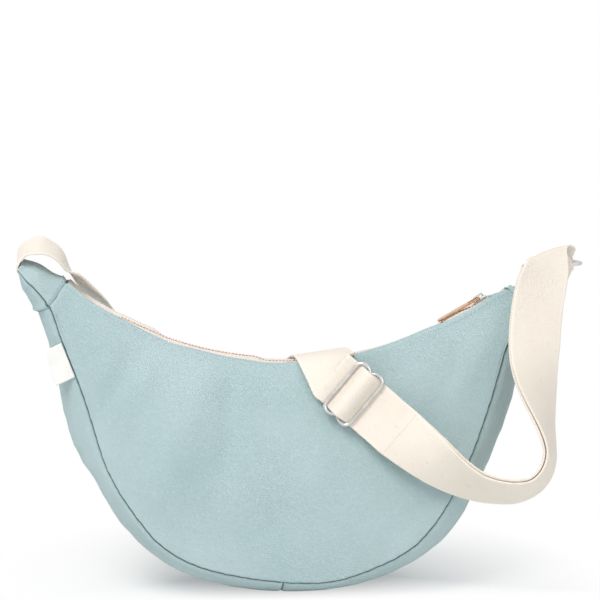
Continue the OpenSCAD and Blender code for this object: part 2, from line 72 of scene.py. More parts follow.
# ---------------------------------------------------------------- the shell's sizes and curves
TOP_R, TOP_Z, TOP_HALF_ANGLE = 270.0, 180.0, 38.2       # the top edge's arc: radius, lowest height, degrees
TOP_C = TOP_Z + TOP_R
SEAM_Z = 11.0                         # height of the seam at the bottom of the bag
DEPTH, TIP_DEPTH, MOUTH_W = 84.0, 49.0, 24.0            # front to back: the middle, the tips and the mouth
PANEL_SWELL = 9.0
SWELL_BOTTOM, SWELL_SIDE, SWELL_TIP = 15.0, 22.0, 13.0  # how far the gusset's crown stands out of the seam
WALL, RIGHT_DROOP = 1.8, 23.0         # the canvas's thickness, and how far the right tip hangs down
CAP_REACH = np.array([32.0, 20.0])    # along the top of a cap, from the arc's end to the cap's mouth
CAP_MOUTH = 10.0                      # from the top of a cap's mouth to its seam
BELLY, BELLY_DIR = np.array([112.0, 58.0]), np.array([0.636, 0.772])    # where the seam's two curves meet
SEAM_END = np.array([180.0, 228.0])
BELLY_AT = 0.4                        # share of the stations that lie below it
SEAM_LOW = [np.array([0, SEAM_Z]), np.array([55, SEAM_Z]), BELLY - 31 * BELLY_DIR, BELLY]
SEAM_HIGH = [BELLY, BELLY + 44 * BELLY_DIR, SEAM_END - 69 * np.array([0.406, 0.914]), SEAM_END]

ZIP_R = TOP_R + WALL / 2
CHAIN_W, TAPE_T = 5.6, 0.6
ZIP_END = TOP_HALF_ANGLE - 0.25
TAPE_OUT = MOUTH_W / 2 - WALL * 0.72  # the tape's outer edge, from the middle

# the strap and its wires
STRAP_W, STRAP_T, WIRE_D, SIDE_GAP = 40.0, 1.8, 3.0, 1.0
FRAME_L = STRAP_W + 2 * (SIDE_GAP + WIRE_D)
GLIDE_W, RING_W = 27.0, 19.0
WRAP_GAP, SEWN_L = 0.4, 24.0          # between strap and wire, and the length of the strap's sewn end


def mix(a, b, t):
    return a + (b - a) * t


def ease(t):
    q = min(max(t, 0.0), 1.0)
    return q * q * (3 - 2 * q)


def unit(v):
    v = np.asarray(v, float)
    return v / np.linalg.norm(v)


CAP_WAY, CROWN_WAY = unit([5, -9]), unit([5.4, -9])     # the ways a cap's seam and its crown face, in x and z


def hand(t):
    """-1 left of the middle, or in front of it, and 1 on the other side."""
    return -1 if t < 0 else 1


def bump(d, width):
    return math.exp(-(d / width) ** 2)


def bezier(p, t):
    s = 1 - t
    return s**3 * p[0] + 3 * s * s * t * p[1] + 3 * s * t * t * p[2] + t**3 * p[3]


# a station u runs from -1 at the left end of the zip to 1 at the right, and a cap reaches from there to 2
def along(u):
    return min(abs(u), 1.0)


def in_cap(u):
    return max(abs(u) - 1.0, 0.0)


def seam_xz(s):
    """The drafted seam, s running from 0 at the bottom of the bag to 1 at a tip."""
    if s < BELLY_AT:
        return bezier(SEAM_LOW, s / BELLY_AT)
    return bezier(SEAM_HIGH, (s - BELLY_AT) / (1 - BELLY_AT))


def seam_out(s):
    a, b = seam_xz(max(s - 0.01, 0)), seam_xz(min(s + 0.01, 1))
    return unit([b[1] - a[1], a[0] - b[0]])


def droop(u):
    return RIGHT_DROOP * ease((along(u) + 0.27 * in_cap(u) - 0.87) / 0.4) if u > 0 else 0.0


def top_at(s):
    a = math.radians(s * TOP_HALF_ANGLE)
    return np.array([TOP_R * math.sin(a), TOP_C - TOP_R * math.cos(a)])


CAP_END = top_at(1) + CAP_REACH


def swell_at(s):
    if s < 0.6:
        return mix(SWELL_BOTTOM, SWELL_SIDE, ease(s / 0.6))
    return mix(SWELL_SIDE, SWELL_TIP, ease((s - 0.68) / 0.32))


def top_xz(u):
    return top_at(along(u)) + in_cap(u) * CAP_REACH


# the sewn seam against its drafted curve, by mm of seam from the bag's middle: mm outwards
SEAM_SHIFT = np.array([
    (-306, 1.1), (-285, 2.5), (-264, 2.2), (-244, 1.4), (-224, 1.1), (-204, 1.8), (-186, 2.6),
    (-176, 2.5), (-160, 1.1), (-144, -0.7), (-130, -1.7), (-116, -0.9), (-100, -0.9), (-83, -1.6),
    (-65, -3.2), (-45, -4.8), (-24, -5.1), (-12, -4.6), (0, -3.8), (12, -3.0), (24, -2.0), (35, -1.7),
    (65, -2.6), (83, -2.0), (100, -1.8), (116, -3.1), (130, -3.9), (144, -3.9), (160, -3.3),
    (177, -2.3), (195, -1.5), (224, -0.9), (244, -1.2), (264, -2.2), (290, -0.6), (306, 0.5)])
# how far the gusset's crown has sunk inside its drafted curve, in the same way
CROWN_SINK = np.array([
    (-330, 1.0), (-262, 1.2), (-215, 0.2), (-198, 0.2), (-185, 2.0), (-172, 5.2), (-160, 6.0), (-125, 6.0),
    (-100, 4.4), (-78, 3.7), (-55, 4.0), (-27, 3.7), (0, 3.4), (60, 2.6), (95, 2.4), (122, 2.6), (145, 4.6),
    (165, 5.0), (200, 3.9), (230, 1.6), (260, 0.6), (330, 0.2)])


def from_table(table, t):
    return np.interp(t, table[:, 0], table[:, 1])


def station(u):
    """The left cap is sewn on a little further down its side than the right one."""
    s = along(u)
    return s - 0.0135 * ease((s - 0.8) / 0.2) if u < 0 else s


def seam_pt(u):
    s = station(u)
    sewn = seam_xz(s) + from_table(SEAM_SHIFT, seam_length(u)) * seam_out(s)
    bow = -2.0 * math.sin(math.pi * in_cap(u))
    return mix(sewn, CAP_END + CAP_MOUTH * CAP_WAY, in_cap(u)) + bow * CAP_WAY


def crown_pt(u):
    s = station(u)
    end = CAP_END + (CAP_MOUTH + 2.5) * CROWN_WAY
    return mix(seam_xz(s) + swell_at(s) * seam_out(s), end, in_cap(u))


def half_depth(u):
    return mix(DEPTH / 2, TIP_DEPTH / 2, ease((along(u) - 0.3) / 0.7))


def zip_hidden(x):
    """1 where the zip has sunk out of sight behind the front edge, 0 where it stands up."""
    middle = ease((x + 28) / 12) * ease((14 - x) / 12)
    right = ease((x - 44) / 8) * ease((122 - x) / 12)
    return max(middle, right, ease((x - 153) / 4))


def gape(x):
    """1 where the mouth gapes towards its left end."""
    return ease((-92 - x) / 14)


# how far the front edge beside the zip stands above its drafted arc, by x
EDGE_LIFT = np.array([
    (-163, 2.2), (-150, 2.6), (-122, 2.8), (-108, 1.6), (-90, 0.1), (-68, 0.9), (-50, 0.2), (-30, -0.2),
    (-20, -1.2), (-8, -1.1), (2, -0.3), (44, 0.4), (56, 1.3), (76, 2.4), (88, 3.2), (100, 3.8), (108, 3.5),
    (116, 2.4), (130, 1.8), (142, 1.2), (152, 1.4), (162, 2.2)])
LEFT_CORNER = 2.9       # the left end of the mouth is pulled up by the strap


def mouth_lift(u, side):
    """How far the edge beside the zip stands above its drafted arc, in front (side -1) or behind."""
    x = math.copysign(top_at(along(u))[0], u)
    free = ease((1 - along(u)) / 0.02)
    lift = from_table(EDGE_LIFT, x) if side < 0 else -1.9 - 0.8 * zip_hidden(x) + 2.0 * gape(x)
    return free * lift + LEFT_CORNER * ease((-147 - x) / 18)


def half_mouth(u):
    return mix(MOUTH_W / 2, TIP_DEPTH / 2 - 1.5, in_cap(u))


def place(u, xz, y):
    return np.array([hand(u) * xz[0], y, max(xz[1] - droop(u), 0.0)])


# ---------------------------------------------------------------- what use has done to the cloth
# soft folds in a panel: middle x, middle z, slope in degrees, half length, half width, height
FRONT_FOLDS = [
    (-46, 160, 86, 46, 9, -4.0), (-84, 122, 72, 50, 18, 4.6), (-126, 172, 58, 40, 9, -2.4),
    (-40, 120, 60, 36, 12, -1.6), (-104, 178, 60, 30, 9, 1.2), (-138, 82, 60, 22, 8, -2.0),
    (-110, 60, -44, 46, 15, -3.8), (-20, 60, 10, 70, 20, -1.6), (62, 100, -60, 60, 18, 2.2),
    (96, 70, 50, 40, 12, -2.2), (112, 150, 70, 42, 12, -1.6), (136, 178, 62, 34, 8, 1.2),
    (20, 96, 84, 48, 15, 1.2), (58, 160, 40, 30, 10, -1.4), (-30, 160, -15, 40, 8, 1.0),
]
BACK_FOLDS = [
    (70, 120, 84, 58, 13, -2.2), (32, 84, 70, 46, 14, 1.4), (-52, 128, 96, 60, 12, -2.0),
    (-100, 92, 60, 40, 12, 1.6), (118, 158, -60, 36, 9, -1.6), (-126, 168, 58, 34, 9, -1.4),
]


def folds_at(x, z, folds):
    total = 0.0
    for fx, fz, slope, length, width, height in folds:
        c, s = math.cos(math.radians(slope)), math.sin(math.radians(slope))
        lengthways, across = (x - fx) * c + (z - fz) * s, -(x - fx) * s + (z - fz) * c
        total += height * math.exp(-(lengthways / length) ** 2 - (across / width) ** 2)
    return total


def ripple(t, phase):
    """A wavering line between -1 and 1, for cloth gathered along a seam."""
    waves = ((0.5, 0.61, 1), (0.3, 1.07, 2.1), (0.2, 0.29, 0))
    return sum(share * math.sin(t * pace + lag * phase) for share, pace, lag in waves)


SEAM_TUCK, SEAM_WIDE = 2.0, 1.6     # how deep a seam draws the cloth in, and over what width


def seam_pull(u, side, gap):
    """How a point at gap mm from the front or back seam is drawn in, and puckered along it."""
    out = seam_out(along(u)) * (1 - in_cap(u)) + CAP_WAY * in_cap(u)
    inward = unit([-hand(u) * out[0], -side * 0.9, -out[1]])
    depth = SEAM_TUCK * bump(gap, SEAM_WIDE) + 0.28 * ripple(seam_length(u), side) * bump(gap, 9)
    return depth * inward


def seam_shadow_at(*gaps):
    """How deep in a seam's painted shadow a point lies, from 0 to 1, gaps being its distances from the seams.
    """
    return max(bump(gap, 0.72) for gap in gaps)


STATIONS = np.linspace(0, 1, 401)
SEAM_LINE = [seam_xz(s) for s in STATIONS]
SEAM_STEPS = [np.linalg.norm(b - a) for a, b in zip(SEAM_LINE, SEAM_LINE[1:])]
SEAM_RUN = np.concatenate([[0], np.cumsum(SEAM_STEPS)])


def seam_length(u):
    """Millimetres of seam from the bag's middle to station u, negative on the left."""
    return math.copysign(np.interp(along(u), STATIONS, SEAM_RUN) + 30 * in_cap(u), u)


# ---------------------------------------------------------------- meshes
def put(name, data):
    """An object at the origin, in the scene."""
    thing = bpy.data.objects.new(name, data)
    bpy.context.scene.collection.objects.link(thing)
    return thing


def new_piece(name, verts, faces, material, uv=None, crease=None):
    """A mesh object with its faces turned outwards. verts are in mm; uv is a point per vertex, in metres."""
    verts = np.asarray(verts, float)
    tris = [(f[0], f[k], f[k + 1]) for f in faces for k in range(1, len(f) - 1)]
    a, b, c = (verts[[t[k] for t in tris]] for k in range(3))
    if np.einsum("ij,ij->i", a, np.cross(b, c)).sum() < 0:
        faces = [f[::-1] for f in faces]
    mesh = bpy.data.meshes.new(name)
    mesh.from_pydata((verts * MM).tolist(), [], [list(map(int, f)) for f in faces])
    mesh.update()
    if uv is not None:
        corners = np.zeros(len(mesh.loops), np.int32)
        mesh.loops.foreach_get("vertex_index", corners)
        layer = mesh.uv_layers.new(name="cut")
        layer.data.foreach_set("uv", np.asarray(uv, np.float32)[corners].ravel())
    # crease holds a painted seam shade, one value per vertex, which darkens the canvas
    if crease is not None:
        seam_shade_values = mesh.attributes.new("crease", "FLOAT", "POINT")
        seam_shade_values.data.foreach_set("value", np.asarray(crease, np.float32))
    mesh.polygons.foreach_set("use_smooth", [True] * len(mesh.polygons))
    mesh.materials.append(material)
    return put(name, mesh)


def ring_faces(rings, sides, closed=False):
    """Faces between rings of points that follow each other, and over the two ends unless closed."""
    faces = []
    for k in range(rings if closed else rings - 1):
        this, after = k * sides, (k + 1) % rings * sides
        for s in range(sides):
            r = (s + 1) % sides
            faces.append((this + s, this + r, after + r, after + s))
    if not closed:
        faces += [tuple(range(sides))[::-1], tuple(range((rings - 1) * sides, rings * sides))]
    return faces


def cloth_piece(name, outer, uv, material, thick=WALL, crease=None):
    """A sheet of cloth with a rounded edge, from a grid of points on its outer face."""
    outer = np.asarray(outer, float)
    ni, nj, _ = outer.shape
    n = np.cross(np.gradient(outer, axis=0), np.gradient(outer, axis=1))
    n /= np.maximum(np.linalg.norm(n, axis=2, keepdims=True), 1e-9)
    inner = outer + thick * n
    border = ([(i, 0) for i in range(ni)] + [(ni - 1, j) for j in range(1, nj)]
              + [(i, nj - 1) for i in range(ni - 2, -1, -1)] + [(0, j) for j in range(nj - 2, 0, -1)])
    centre = (outer + inner) / 2
    rim = []
    for i, j in border:
        p = centre[i, j]
        within = centre[min(max(i, 1), ni - 2), j], centre[i, min(max(j, 1), nj - 2)]
        outwards = sum(unit(p - q) for q in within if (p != q).any())
        rim.append(p + 0.3 * thick * unit(outwards))
    flat_uv = np.asarray(uv, float).reshape(-1, 2)
    verts = np.concatenate([outer.reshape(-1, 3), inner.reshape(-1, 3), rim])
    uvs = np.concatenate([flat_uv, flat_uv, [flat_uv[i * nj + j] for i, j in border]])
    # the painted seam shade goes on the outer face and the rim, none on the inner face
    if crease is not None:
        depth = np.asarray(crease, float).ravel()
        crease = np.concatenate([depth, np.zeros(ni * nj), [depth[i * nj + j] for i, j in border]])
    skin = ni * nj
    faces = []
    for i in range(ni - 1):
        for j in range(nj - 1):
            a, b, c, d = i * nj + j, (i + 1) * nj + j, (i + 1) * nj + j + 1, i * nj + j + 1
            faces += [(a, b, c, d), (skin + a, skin + d, skin + c, skin + b)]
    m = len(border)
    for k in range(m):
        (i, j), (p, q) = border[k], border[(k + 1) % m]
        a, b, r, s = i * nj + j, p * nj + q, 2 * skin + k, 2 * skin + (k + 1) % m
        faces += [(b, a, r, s), (s, r, skin + a, skin + b)]
    return new_piece(name, verts, faces, material, uvs, crease)


# ---------------------------------------------------------------- node helpers
class Nodes:
    """A node tree that is built up by named steps."""

    def __init__(self, tree):
        self.tree = tree

    def node(self, kind, inputs=None, **values):
        n = self.tree.nodes.new(kind)
        for key, value in values.items():
            setattr(n, key, value)
        for socket, value in (inputs or {}).items():
            if isinstance(value, bpy.types.NodeSocket):
                self.tree.links.new(value, n.inputs[socket])
            else:
                n.inputs[socket].default_value = value
        return n

    def maths(self, operation, a, b=0.0, c=0.0):
        return self.node("ShaderNodeMath", {0: a, 1: b, 2: c}, operation=operation).outputs[0]

    def plus(self, a, b):
        return self.maths("ADD", a, b)

    def times(self, a, b):
        return self.maths("MULTIPLY", a, b)

    def times_plus(self, a, b, c):
        return self.maths("MULTIPLY_ADD", a, b, c)

    def xyz(self, x, y, z=0.0):
        return self.node("ShaderNodeCombineXYZ", {0: x, 1: y, 2: z}).outputs[0]

    def seen_rays(self):
        """1 on rays that end in the picture, straight or by way of a shine, and 0 on rays that light."""
        rays = self.node("ShaderNodeLightPath").outputs
        seen = self.maths("MAXIMUM", rays["Is Camera Ray"], rays["Is Glossy Ray"])
        return self.maths("MAXIMUM", seen, rays["Is Transmission Ray"])


class Finish(Nodes):
    """A material whose pattern is worked out by named steps of nodes."""

    def __init__(self, name, colour, roughness, metallic=0.0, **sockets):
        self.material = bpy.data.materials.new(name)
        self.material.use_nodes = True
        super().__init__(self.material.node_tree)
        self.shader = self.tree.nodes["Principled BSDF"]
        self.shader.inputs["Base Color"].default_value = (*colour, 1)
        self.shader.inputs["Roughness"].default_value = roughness
        self.shader.inputs["Metallic"].default_value = metallic
        for socket, value in sockets.items():
            self.shader.inputs[socket.replace("_", " ")].default_value = value

    def cloth_coords(self):
        uv = self.node("ShaderNodeUVMap", uv_map="cut").outputs[0]
        parts = self.node("ShaderNodeSeparateXYZ", {0: uv})
        return uv, parts.outputs[0], parts.outputs[1]

    def object_coords(self):
        return self.node("ShaderNodeTexCoord").outputs["Object"]

    def wave(self, value, pitch):
        """A sine of value with that pitch, from 0 to 1."""
        return self.times_plus(self.maths("SINE", self.times(value, 2 * math.pi / pitch)), 0.5, 0.5)

    def noise(self, vector, scale, detail, stretch=None):
        if stretch:
            scaled = {0: vector, 1: stretch}
            vector = self.node("ShaderNodeVectorMath", scaled, operation="MULTIPLY").outputs[0]
        inputs = {"Vector": vector, "Scale": scale, "Detail": detail}
        return self.node("ShaderNodeTexNoise", inputs).outputs["Fac"]

    def blend(self, factor, a, b):
        a, b = ((*c, 1) if isinstance(c, tuple) else c for c in (a, b))
        return self.node("ShaderNodeMix", {0: factor, 6: a, 7: b}, data_type="RGBA").outputs[2]

    def span(self, value, low, high, to_low=0.0, to_high=1.0):
        ends = {0: value, 1: low, 2: high, 3: to_low, 4: to_high}
        return self.node("ShaderNodeMapRange", ends).outputs[0]

    def paint(self, colour, *coats):
        """Coats over a colour: each one's value, the ends of its span, its strengths there and its colour."""
        for *ends, coat in coats:
            colour = self.blend(self.span(*ends), colour, coat)
        self.set("Base Color", colour)

    def relief(self, height, distance, strength=1.0):
        n = self.node("ShaderNodeBump", {"Height": height, "Distance": distance, "Strength": strength})
        self.set("Normal", n.outputs[0])

    def set(self, socket, value):
        self.tree.links.new(value, self.shader.inputs[socket])


def srgb(*levels):
    """A colour given in screen levels from 0 to 255, as the linear values that nodes take."""
    parts = [level / 255 for level in levels]
    return tuple(c / 12.92 if c <= 0.04045 else ((c + 0.055) / 1.055) ** 2.4 for c in parts)


def twill_canvas():
    """Washed teal cotton twill: fine diagonal ribs, slubs, a faint uneven dye, and painted shade darkening it
    along its seams.
    """
    f = Finish("teal_twill", srgb(188, 210, 212), 0.9, Sheen_Weight=0.12, Sheen_Roughness=0.5)
    uv, across, upward = f.cloth_coords()
    diagonal = f.plus(f.times(across, 0.8), upward)
    wander = f.times(f.noise(uv, 300, 1), 0.0009)
    rib = f.wave(f.plus(diagonal, wander), 0.0013)
    counter = f.maths("SUBTRACT", across, f.times(upward, 0.8))
    weft = f.wave(counter, 0.0007)
    thread = f.times_plus(weft, 0.3, f.times(rib, 0.7))
    turned = f.xyz(diagonal, f.times(counter, 0.35))
    slub = f.noise(turned, 620, 2)
    fuzz = f.noise(uv, 1500, 2)
    # painted shade: the crease attribute darkens the canvas towards its seams, where shadow would fall in
    # their creases
    crease = f.node("ShaderNodeAttribute", attribute_name="crease").outputs["Fac"]
    f.paint(srgb(184, 207, 209),
            (f.noise(uv, 14, 3), 0.35, 0.65, srgb(197, 217, 220)),
            (thread, 0.1, 0.9, 0.5, 0.0, srgb(148, 178, 181)),
            (slub, 0.52, 0.72, 0.0, 0.42, srgb(203, 221, 223)),
            (fuzz, 0.3, 0.5, 0.22, 0.0, srgb(156, 184, 187)),
            (crease, 0.2, 0.8, 0.0, 0.92, srgb(66, 94, 97)))
    f.relief(f.times_plus(slub, 0.5, f.times_plus(fuzz, 0.35, thread)), 0.00036)
    return f.material


def natural_webbing():
    """Undyed cotton webbing: lengthwise ribs over a close weft, raised selvedges and small flecks."""
    f = Finish("natural_webbing", srgb(243, 236, 224), 0.92, Sheen_Weight=0.15, Sheen_Roughness=0.5)
    uv, across, length = f.cloth_coords()
    wander = f.times(f.noise(uv, 90, 1), 0.0012)
    rib = f.wave(f.plus(across, wander), 0.0016)
    pick = f.wave(f.plus(length, f.times(wander, 0.6)), 0.00115)
    chequer = f.maths("ABSOLUTE", f.maths("SUBTRACT", rib, pick))
    edge = f.maths("ABSOLUTE", f.maths("SUBTRACT", across, STRAP_W / 2 * MM))
    selvedge = f.span(edge, (STRAP_W / 2 - 2.2) * MM, (STRAP_W / 2 - 1.2) * MM)
    twist = f.wave(f.plus(length, across), 0.0021)
    weave = f.node("ShaderNodeMix", {0: selvedge, 2: chequer, 3: twist}).outputs[0]
    fleck = f.noise(uv, 420, 1, (1.0, 0.35, 1.0))
    f.paint(srgb(244, 237, 227),
            (f.noise(uv, 22, 3), 0.3, 0.7, srgb(239, 231, 220)),
            (weave, 0.0, 0.9, 0.4, 0.0, srgb(222, 207, 186)),
            (fleck, 0.66, 0.8, 0.0, 0.5, srgb(214, 196, 170)))
    f.relief(f.times_plus(fleck, 0.4, weave), 0.00014)
    return f.material


def zip_tape_cloth():
    """The zip's woven tape: close herringbone ribs along its length."""
    f = Finish("zip_tape", srgb(243, 234, 224), 0.85, Sheen_Weight=0.1)
    _, length, across = f.cloth_coords()
    rib = f.wave(f.plus(length, f.maths("PINGPONG", across, 0.0011)), 0.0008)
    f.paint(srgb(245, 237, 228), (rib, 0, 1, 0.25, 0.0, srgb(222, 203, 188)))
    f.relief(rib, 0.00015)
    return f.material


def label_cloth():
    """The bare label: smooth white tape with a close plain weave."""
    f = Finish("label_tape", srgb(250, 250, 248), 0.85, Sheen_Weight=0.1)
    uv, across, upward = f.cloth_coords()
    weave = f.times(f.wave(across, 0.00055), f.wave(upward, 0.0007))
    f.paint(srgb(243, 243, 240), (f.noise(uv, 60, 2), 0.3, 0.7, srgb(238, 238, 234)))
    f.relief(weave, 0.00012)
    return f.material


def sewing_thread(name, colour):
    f = Finish(name, colour, 0.7, Sheen_Weight=0.2)
    twist = f.noise(f.object_coords(), 2600, 1)
    f.paint(colour, (twist, 0.35, 0.7, 0.0, 0.4, tuple(c * 0.7 for c in colour)))
    f.relief(twist, 0.0001)
    return f.material


def plated_wire():
    """Nickel-plated steel wire: bright, with faint drawing marks and small dull spots."""
    f = Finish("silver_wire", srgb(214, 212, 210), 0.2, 1.0)
    at = f.object_coords()
    marks = f.noise(at, 900, 2, (1.0, 1.0, 0.15))
    dull = f.noise(at, 130, 3)
    f.set("Roughness", f.span(f.times_plus(dull, 0.7, f.times(marks, 0.3)), 0.3, 0.7, 0.1, 0.26))
    f.paint(srgb(222, 220, 218), (dull, 0.35, 0.7, srgb(196, 193, 190)))
    f.relief(marks, 0.00004, 0.5)
    return f.material


def copper_metal(name, body, rubbed):
    """Rose-gold plated metal, worn lighter where it rubs."""
    f = Finish(name, body, 0.3, 1.0)
    at = f.object_coords()
    wear = f.noise(at, 320, 3)
    f.paint(body, (wear, 0.4, 0.68, rubbed))
    f.set("Roughness", f.span(wear, 0.3, 0.7, 0.22, 0.42))
    f.relief(f.noise(at, 1500, 1), 0.00005, 0.4)
    return f.material


CANVAS, WEBBING, TAPE, LABEL = twill_canvas(), natural_webbing(), zip_tape_cloth(), label_cloth()
SILVER = plated_wire()
COPPER = copper_metal("rose_copper_teeth", srgb(222, 188, 172), srgb(238, 216, 204))
PULL_COPPER = copper_metal("rose_copper_pull", srgb(206, 158, 122), srgb(232, 192, 160))
TEAL_THREAD = sewing_thread("teal_thread", srgb(190, 212, 213))
CREAM_THREAD = sewing_thread("cream_thread", srgb(244, 238, 226))


# ---------------------------------------------------------------- stitches and teeth, by Geometry Nodes
class Repeat(Nodes):
    """A Geometry Nodes tree that sets small shapes along the line of the mesh it is put on."""

    def __init__(self, name, sizes, material):
        super().__init__(bpy.data.node_groups.new(name, "GeometryNodeTree"))
        face = self.tree.interface
        face.new_socket("Line", in_out="INPUT", socket_type="NodeSocketGeometry")
        face.new_socket("Pieces", in_out="OUTPUT", socket_type="NodeSocketGeometry")
        self.ids = {}
        for label, value in sizes.items():
            kind = "NodeSocketInt" if isinstance(value, int) else "NodeSocketFloat"
            socket = face.new_socket(label, in_out="INPUT", socket_type=kind)
            socket.default_value = value
            self.ids[label] = socket.identifier
        self.start = self.node("NodeGroupInput").outputs
        self.material = material

    def spread(self, pitch, **turning):
        """Points at that pitch along the line, and the turn that lays a shape along it."""
        curve = self.node("GeometryNodeMeshToCurve", {"Mesh": self.start["Line"]}).outputs[0]
        inputs = {"Curve": curve, "Length": pitch}
        points = self.node("GeometryNodeCurveToPoints", inputs, mode="LENGTH").outputs
        inputs = {"Vector": points["Tangent"]}
        turn = self.node("FunctionNodeAlignRotationToVector", inputs, axis="X", **turning)
        return points[0], turn.outputs[0]

    def set_out(self, points, shape, turn):
        """The shape at every point, as one mesh in its material."""
        links = {"Points": points, "Instance": shape, "Rotation": turn}
        placed = self.node("GeometryNodeInstanceOnPoints", links).outputs[0]
        real = self.node("GeometryNodeRealizeInstances", {"Geometry": placed}).outputs[0]
        links = {"Geometry": real, "Material": self.material}
        self.node("NodeGroupOutput", {0: self.node("GeometryNodeSetMaterial", links).outputs[0]})

    def run(self, name, lines, **sizes):
        """One plain mesh from lines, which are lists of points in mm."""
        mesh = bpy.data.meshes.new(name + "_line")
        points, edges = [], []
        for line in lines:
            edges += [(len(points) + k, len(points) + k + 1) for k in range(len(line) - 1)]
            points += [tuple(np.asarray(p) * MM) for p in line]
        mesh.from_pydata(points, edges, [])
        holder = put(name + "_holder", mesh)
        modifier = holder.modifiers.new("repeat", "NODES")
        modifier.node_group = self.tree
        for label, value in sizes.items():
            modifier[self.ids[label]] = value
        depsgraph = bpy.context.evaluated_depsgraph_get()
        made = bpy.data.meshes.new_from_object(holder.evaluated_get(depsgraph), depsgraph=depsgraph)
        bpy.data.objects.remove(holder)
        made.name = name
        if not made.materials:
            made.materials.append(self.material)
        return put(name, made)


def stitch_tree(name, material):
    """Stitches of a set length and gap lying along a line, each a little out of true."""
    r = Repeat(name, {"Length": 0.0026, "Gap": 0.0009, "Thickness": 0.00055, "Seed": 7}, material)
    points, turn = r.spread(r.plus(r.start["Length"], r.start["Gap"]))
    skew = {0: (-0.02, -0.05, -0.05), 1: (0.02, 0.05, 0.05), "Seed": r.start["Seed"]}
    wobble = r.node("FunctionNodeRandomValue", skew, data_type="FLOAT_VECTOR").outputs[0]
    turned = r.node("FunctionNodeRotateRotation", {0: turn, 1: wobble}).outputs[0]
    bead = r.node("GeometryNodeMeshUVSphere", {"Segments": 6, "Rings": 5, "Radius": 0.5}).outputs[0]
    scale = r.xyz(r.start["Length"], r.start["Thickness"], r.start["Thickness"])
    r.set_out(points, r.node("GeometryNodeTransform", {"Geometry": bead, "Scale": scale}).outputs[0], turned)
    return r


def tooth_tree():
    """Zip teeth on one row: a rounded body that grips the tape and a narrower head that meshes."""
    sizes = {"Pitch": 0.0026, "Body": 0.0023, "Head": 0.0012, "Height": 0.0024, "Width": 0.0015, "Side": 1.0}
    r = Repeat("zip_teeth_row", sizes, COPPER)
    points, turn = r.spread(r.start["Pitch"], pivot_axis="Y")

    def block(depth, width_share, height_share, shift):
        rod = r.node("GeometryNodeMeshCylinder", {"Vertices": 10, "Radius": 0.5, "Depth": 1.0}).outputs[0]
        wide, tall = r.times(r.start["Width"], width_share), r.times(r.start["Height"], height_share)
        scale = r.xyz(wide, tall, r.start[depth])
        sized = r.node("GeometryNodeTransform", {"Geometry": rod, "Scale": scale}).outputs[0]
        offset = r.xyz(0.0, r.times(r.start["Side"], shift))
        links = {"Geometry": sized, "Translation": offset, "Rotation": (math.pi / 2, 0, 0)}
        return r.node("GeometryNodeTransform", links).outputs[0]

    whole = r.node("GeometryNodeJoinGeometry")
    for part in (block("Body", 1.0, 1.0, 0.0), block("Head", 0.72, 0.7, -0.0015)):
        r.tree.links.new(part, whole.inputs[0])
    r.set_out(points, whole.outputs[0], turn)
    return r


TEAL_STITCH = stitch_tree("teal_stitches", TEAL_THREAD)
CREAM_STITCH = stitch_tree("cream_stitches", CREAM_THREAD)
TOOTH_ROW = tooth_tree()


def keep(piece, body, slot, *nodes):
    """The piece rides on its body and stands for the solids named; slot is not used."""
    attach(piece, body)
    if nodes:
        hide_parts(*nodes)


# ---------------------------------------------------------------- the shell
HEM_IN = 1.5                          # how far the folded edge beside the zip turns in
HEM_AT, HEM_WIDE = 5.5, 2.2           # how far below the edge the hem is stitched down, and over what width
GUSSET_SEAM, GUSSET_SEAM_T = -0.0186, -7.5      # where the gusset's halves are joined: station, mm of seam
CAP_L = 37.0                          # length of a cap from its seam to its mouth
CAP_BEND = 0.42                       # where a cap's front or back turns over its shoulder
CAP_CLOTH = 1.1                       # thickness of the caps' cloth
CAP_LIPS = np.array([-199.0, 0.0, 252.9])       # the middle of the left cap's mouth, closed on the strap


def panel_point(u, v, side, folds):
    """Front (side -1) or back panel: v runs from -1 at the turned-in hem, 0 at the edge, to 1 at the seam."""
    if v < 0:
        turn = -v * math.pi / 2
        edge = panel_point(u, 0.0, side, folds)
        return edge + np.array([0, -side * HEM_IN * math.sin(turn), -0.9 * (1 - math.cos(turn))])
    top, seam = top_xz(u), seam_pt(u)
    height = np.linalg.norm(seam - top)
    gap = height * (1 - v)
    swell = PANEL_SWELL * (1 - ease(along(u)) * 0.86) * math.sin(math.pi * v**0.85)
    p = place(u, mix(top, seam, v), side * (mix(half_mouth(u), half_depth(u), v) + swell))
    free = ease(gap / 22) * ease(v * 5)
    p[1] += side * folds_at(p[0], p[2], folds) * free
    p[2] += mouth_lift(u, side) * (1 - ease(height * v / 11))
    p += seam_pull(u, side, gap)
    p[1] -= side * 0.35 * bump(height * v - HEM_AT, HEM_WIDE)
    return p


def gusset_point(u, w):
    """The gusset: w runs from -1 at the front seam over the crown to 1 at the back seam."""
    t = seam_length(u)
    fall = 1 - abs(w) ** mix(1.8, 2.4, ease(abs(t) / 110))
    sink = from_table(CROWN_SINK, t) - 0.35 * ripple(t * 0.45, 1.3) * ease(abs(t) / 60)
    joined = 0.9 * bump(t - GUSSET_SEAM_T, 1.4)
    xz = mix(seam_pt(u), crown_pt(u), fall) - (sink * fall + joined) * seam_out(along(u))
    p = place(u, xz, half_depth(u) * w) + seam_pull(u, hand(w), half_depth(u) * (1 - abs(w)))
    p[2] = max(p[2], 0.0)
    return p


def drawn_in(p, u):
    """The left cap's mouth is drawn together on the strap that leaves it."""
    if u > 0:
        return p
    share = 0.48 * ease((in_cap(u) - 0.6) / 0.4)
    return mix(p, np.array([CAP_LIPS[0], p[1] * 0.9, CAP_LIPS[2]]), share)


def welt_at(share):
    """A cap is sewn over the panels, so at its seam it stands a little proud and then tucks in."""
    return 0.9 * bump(share * CAP_L - 3.0, 1.8) - 1.1 * bump(share * CAP_L, 1.3)


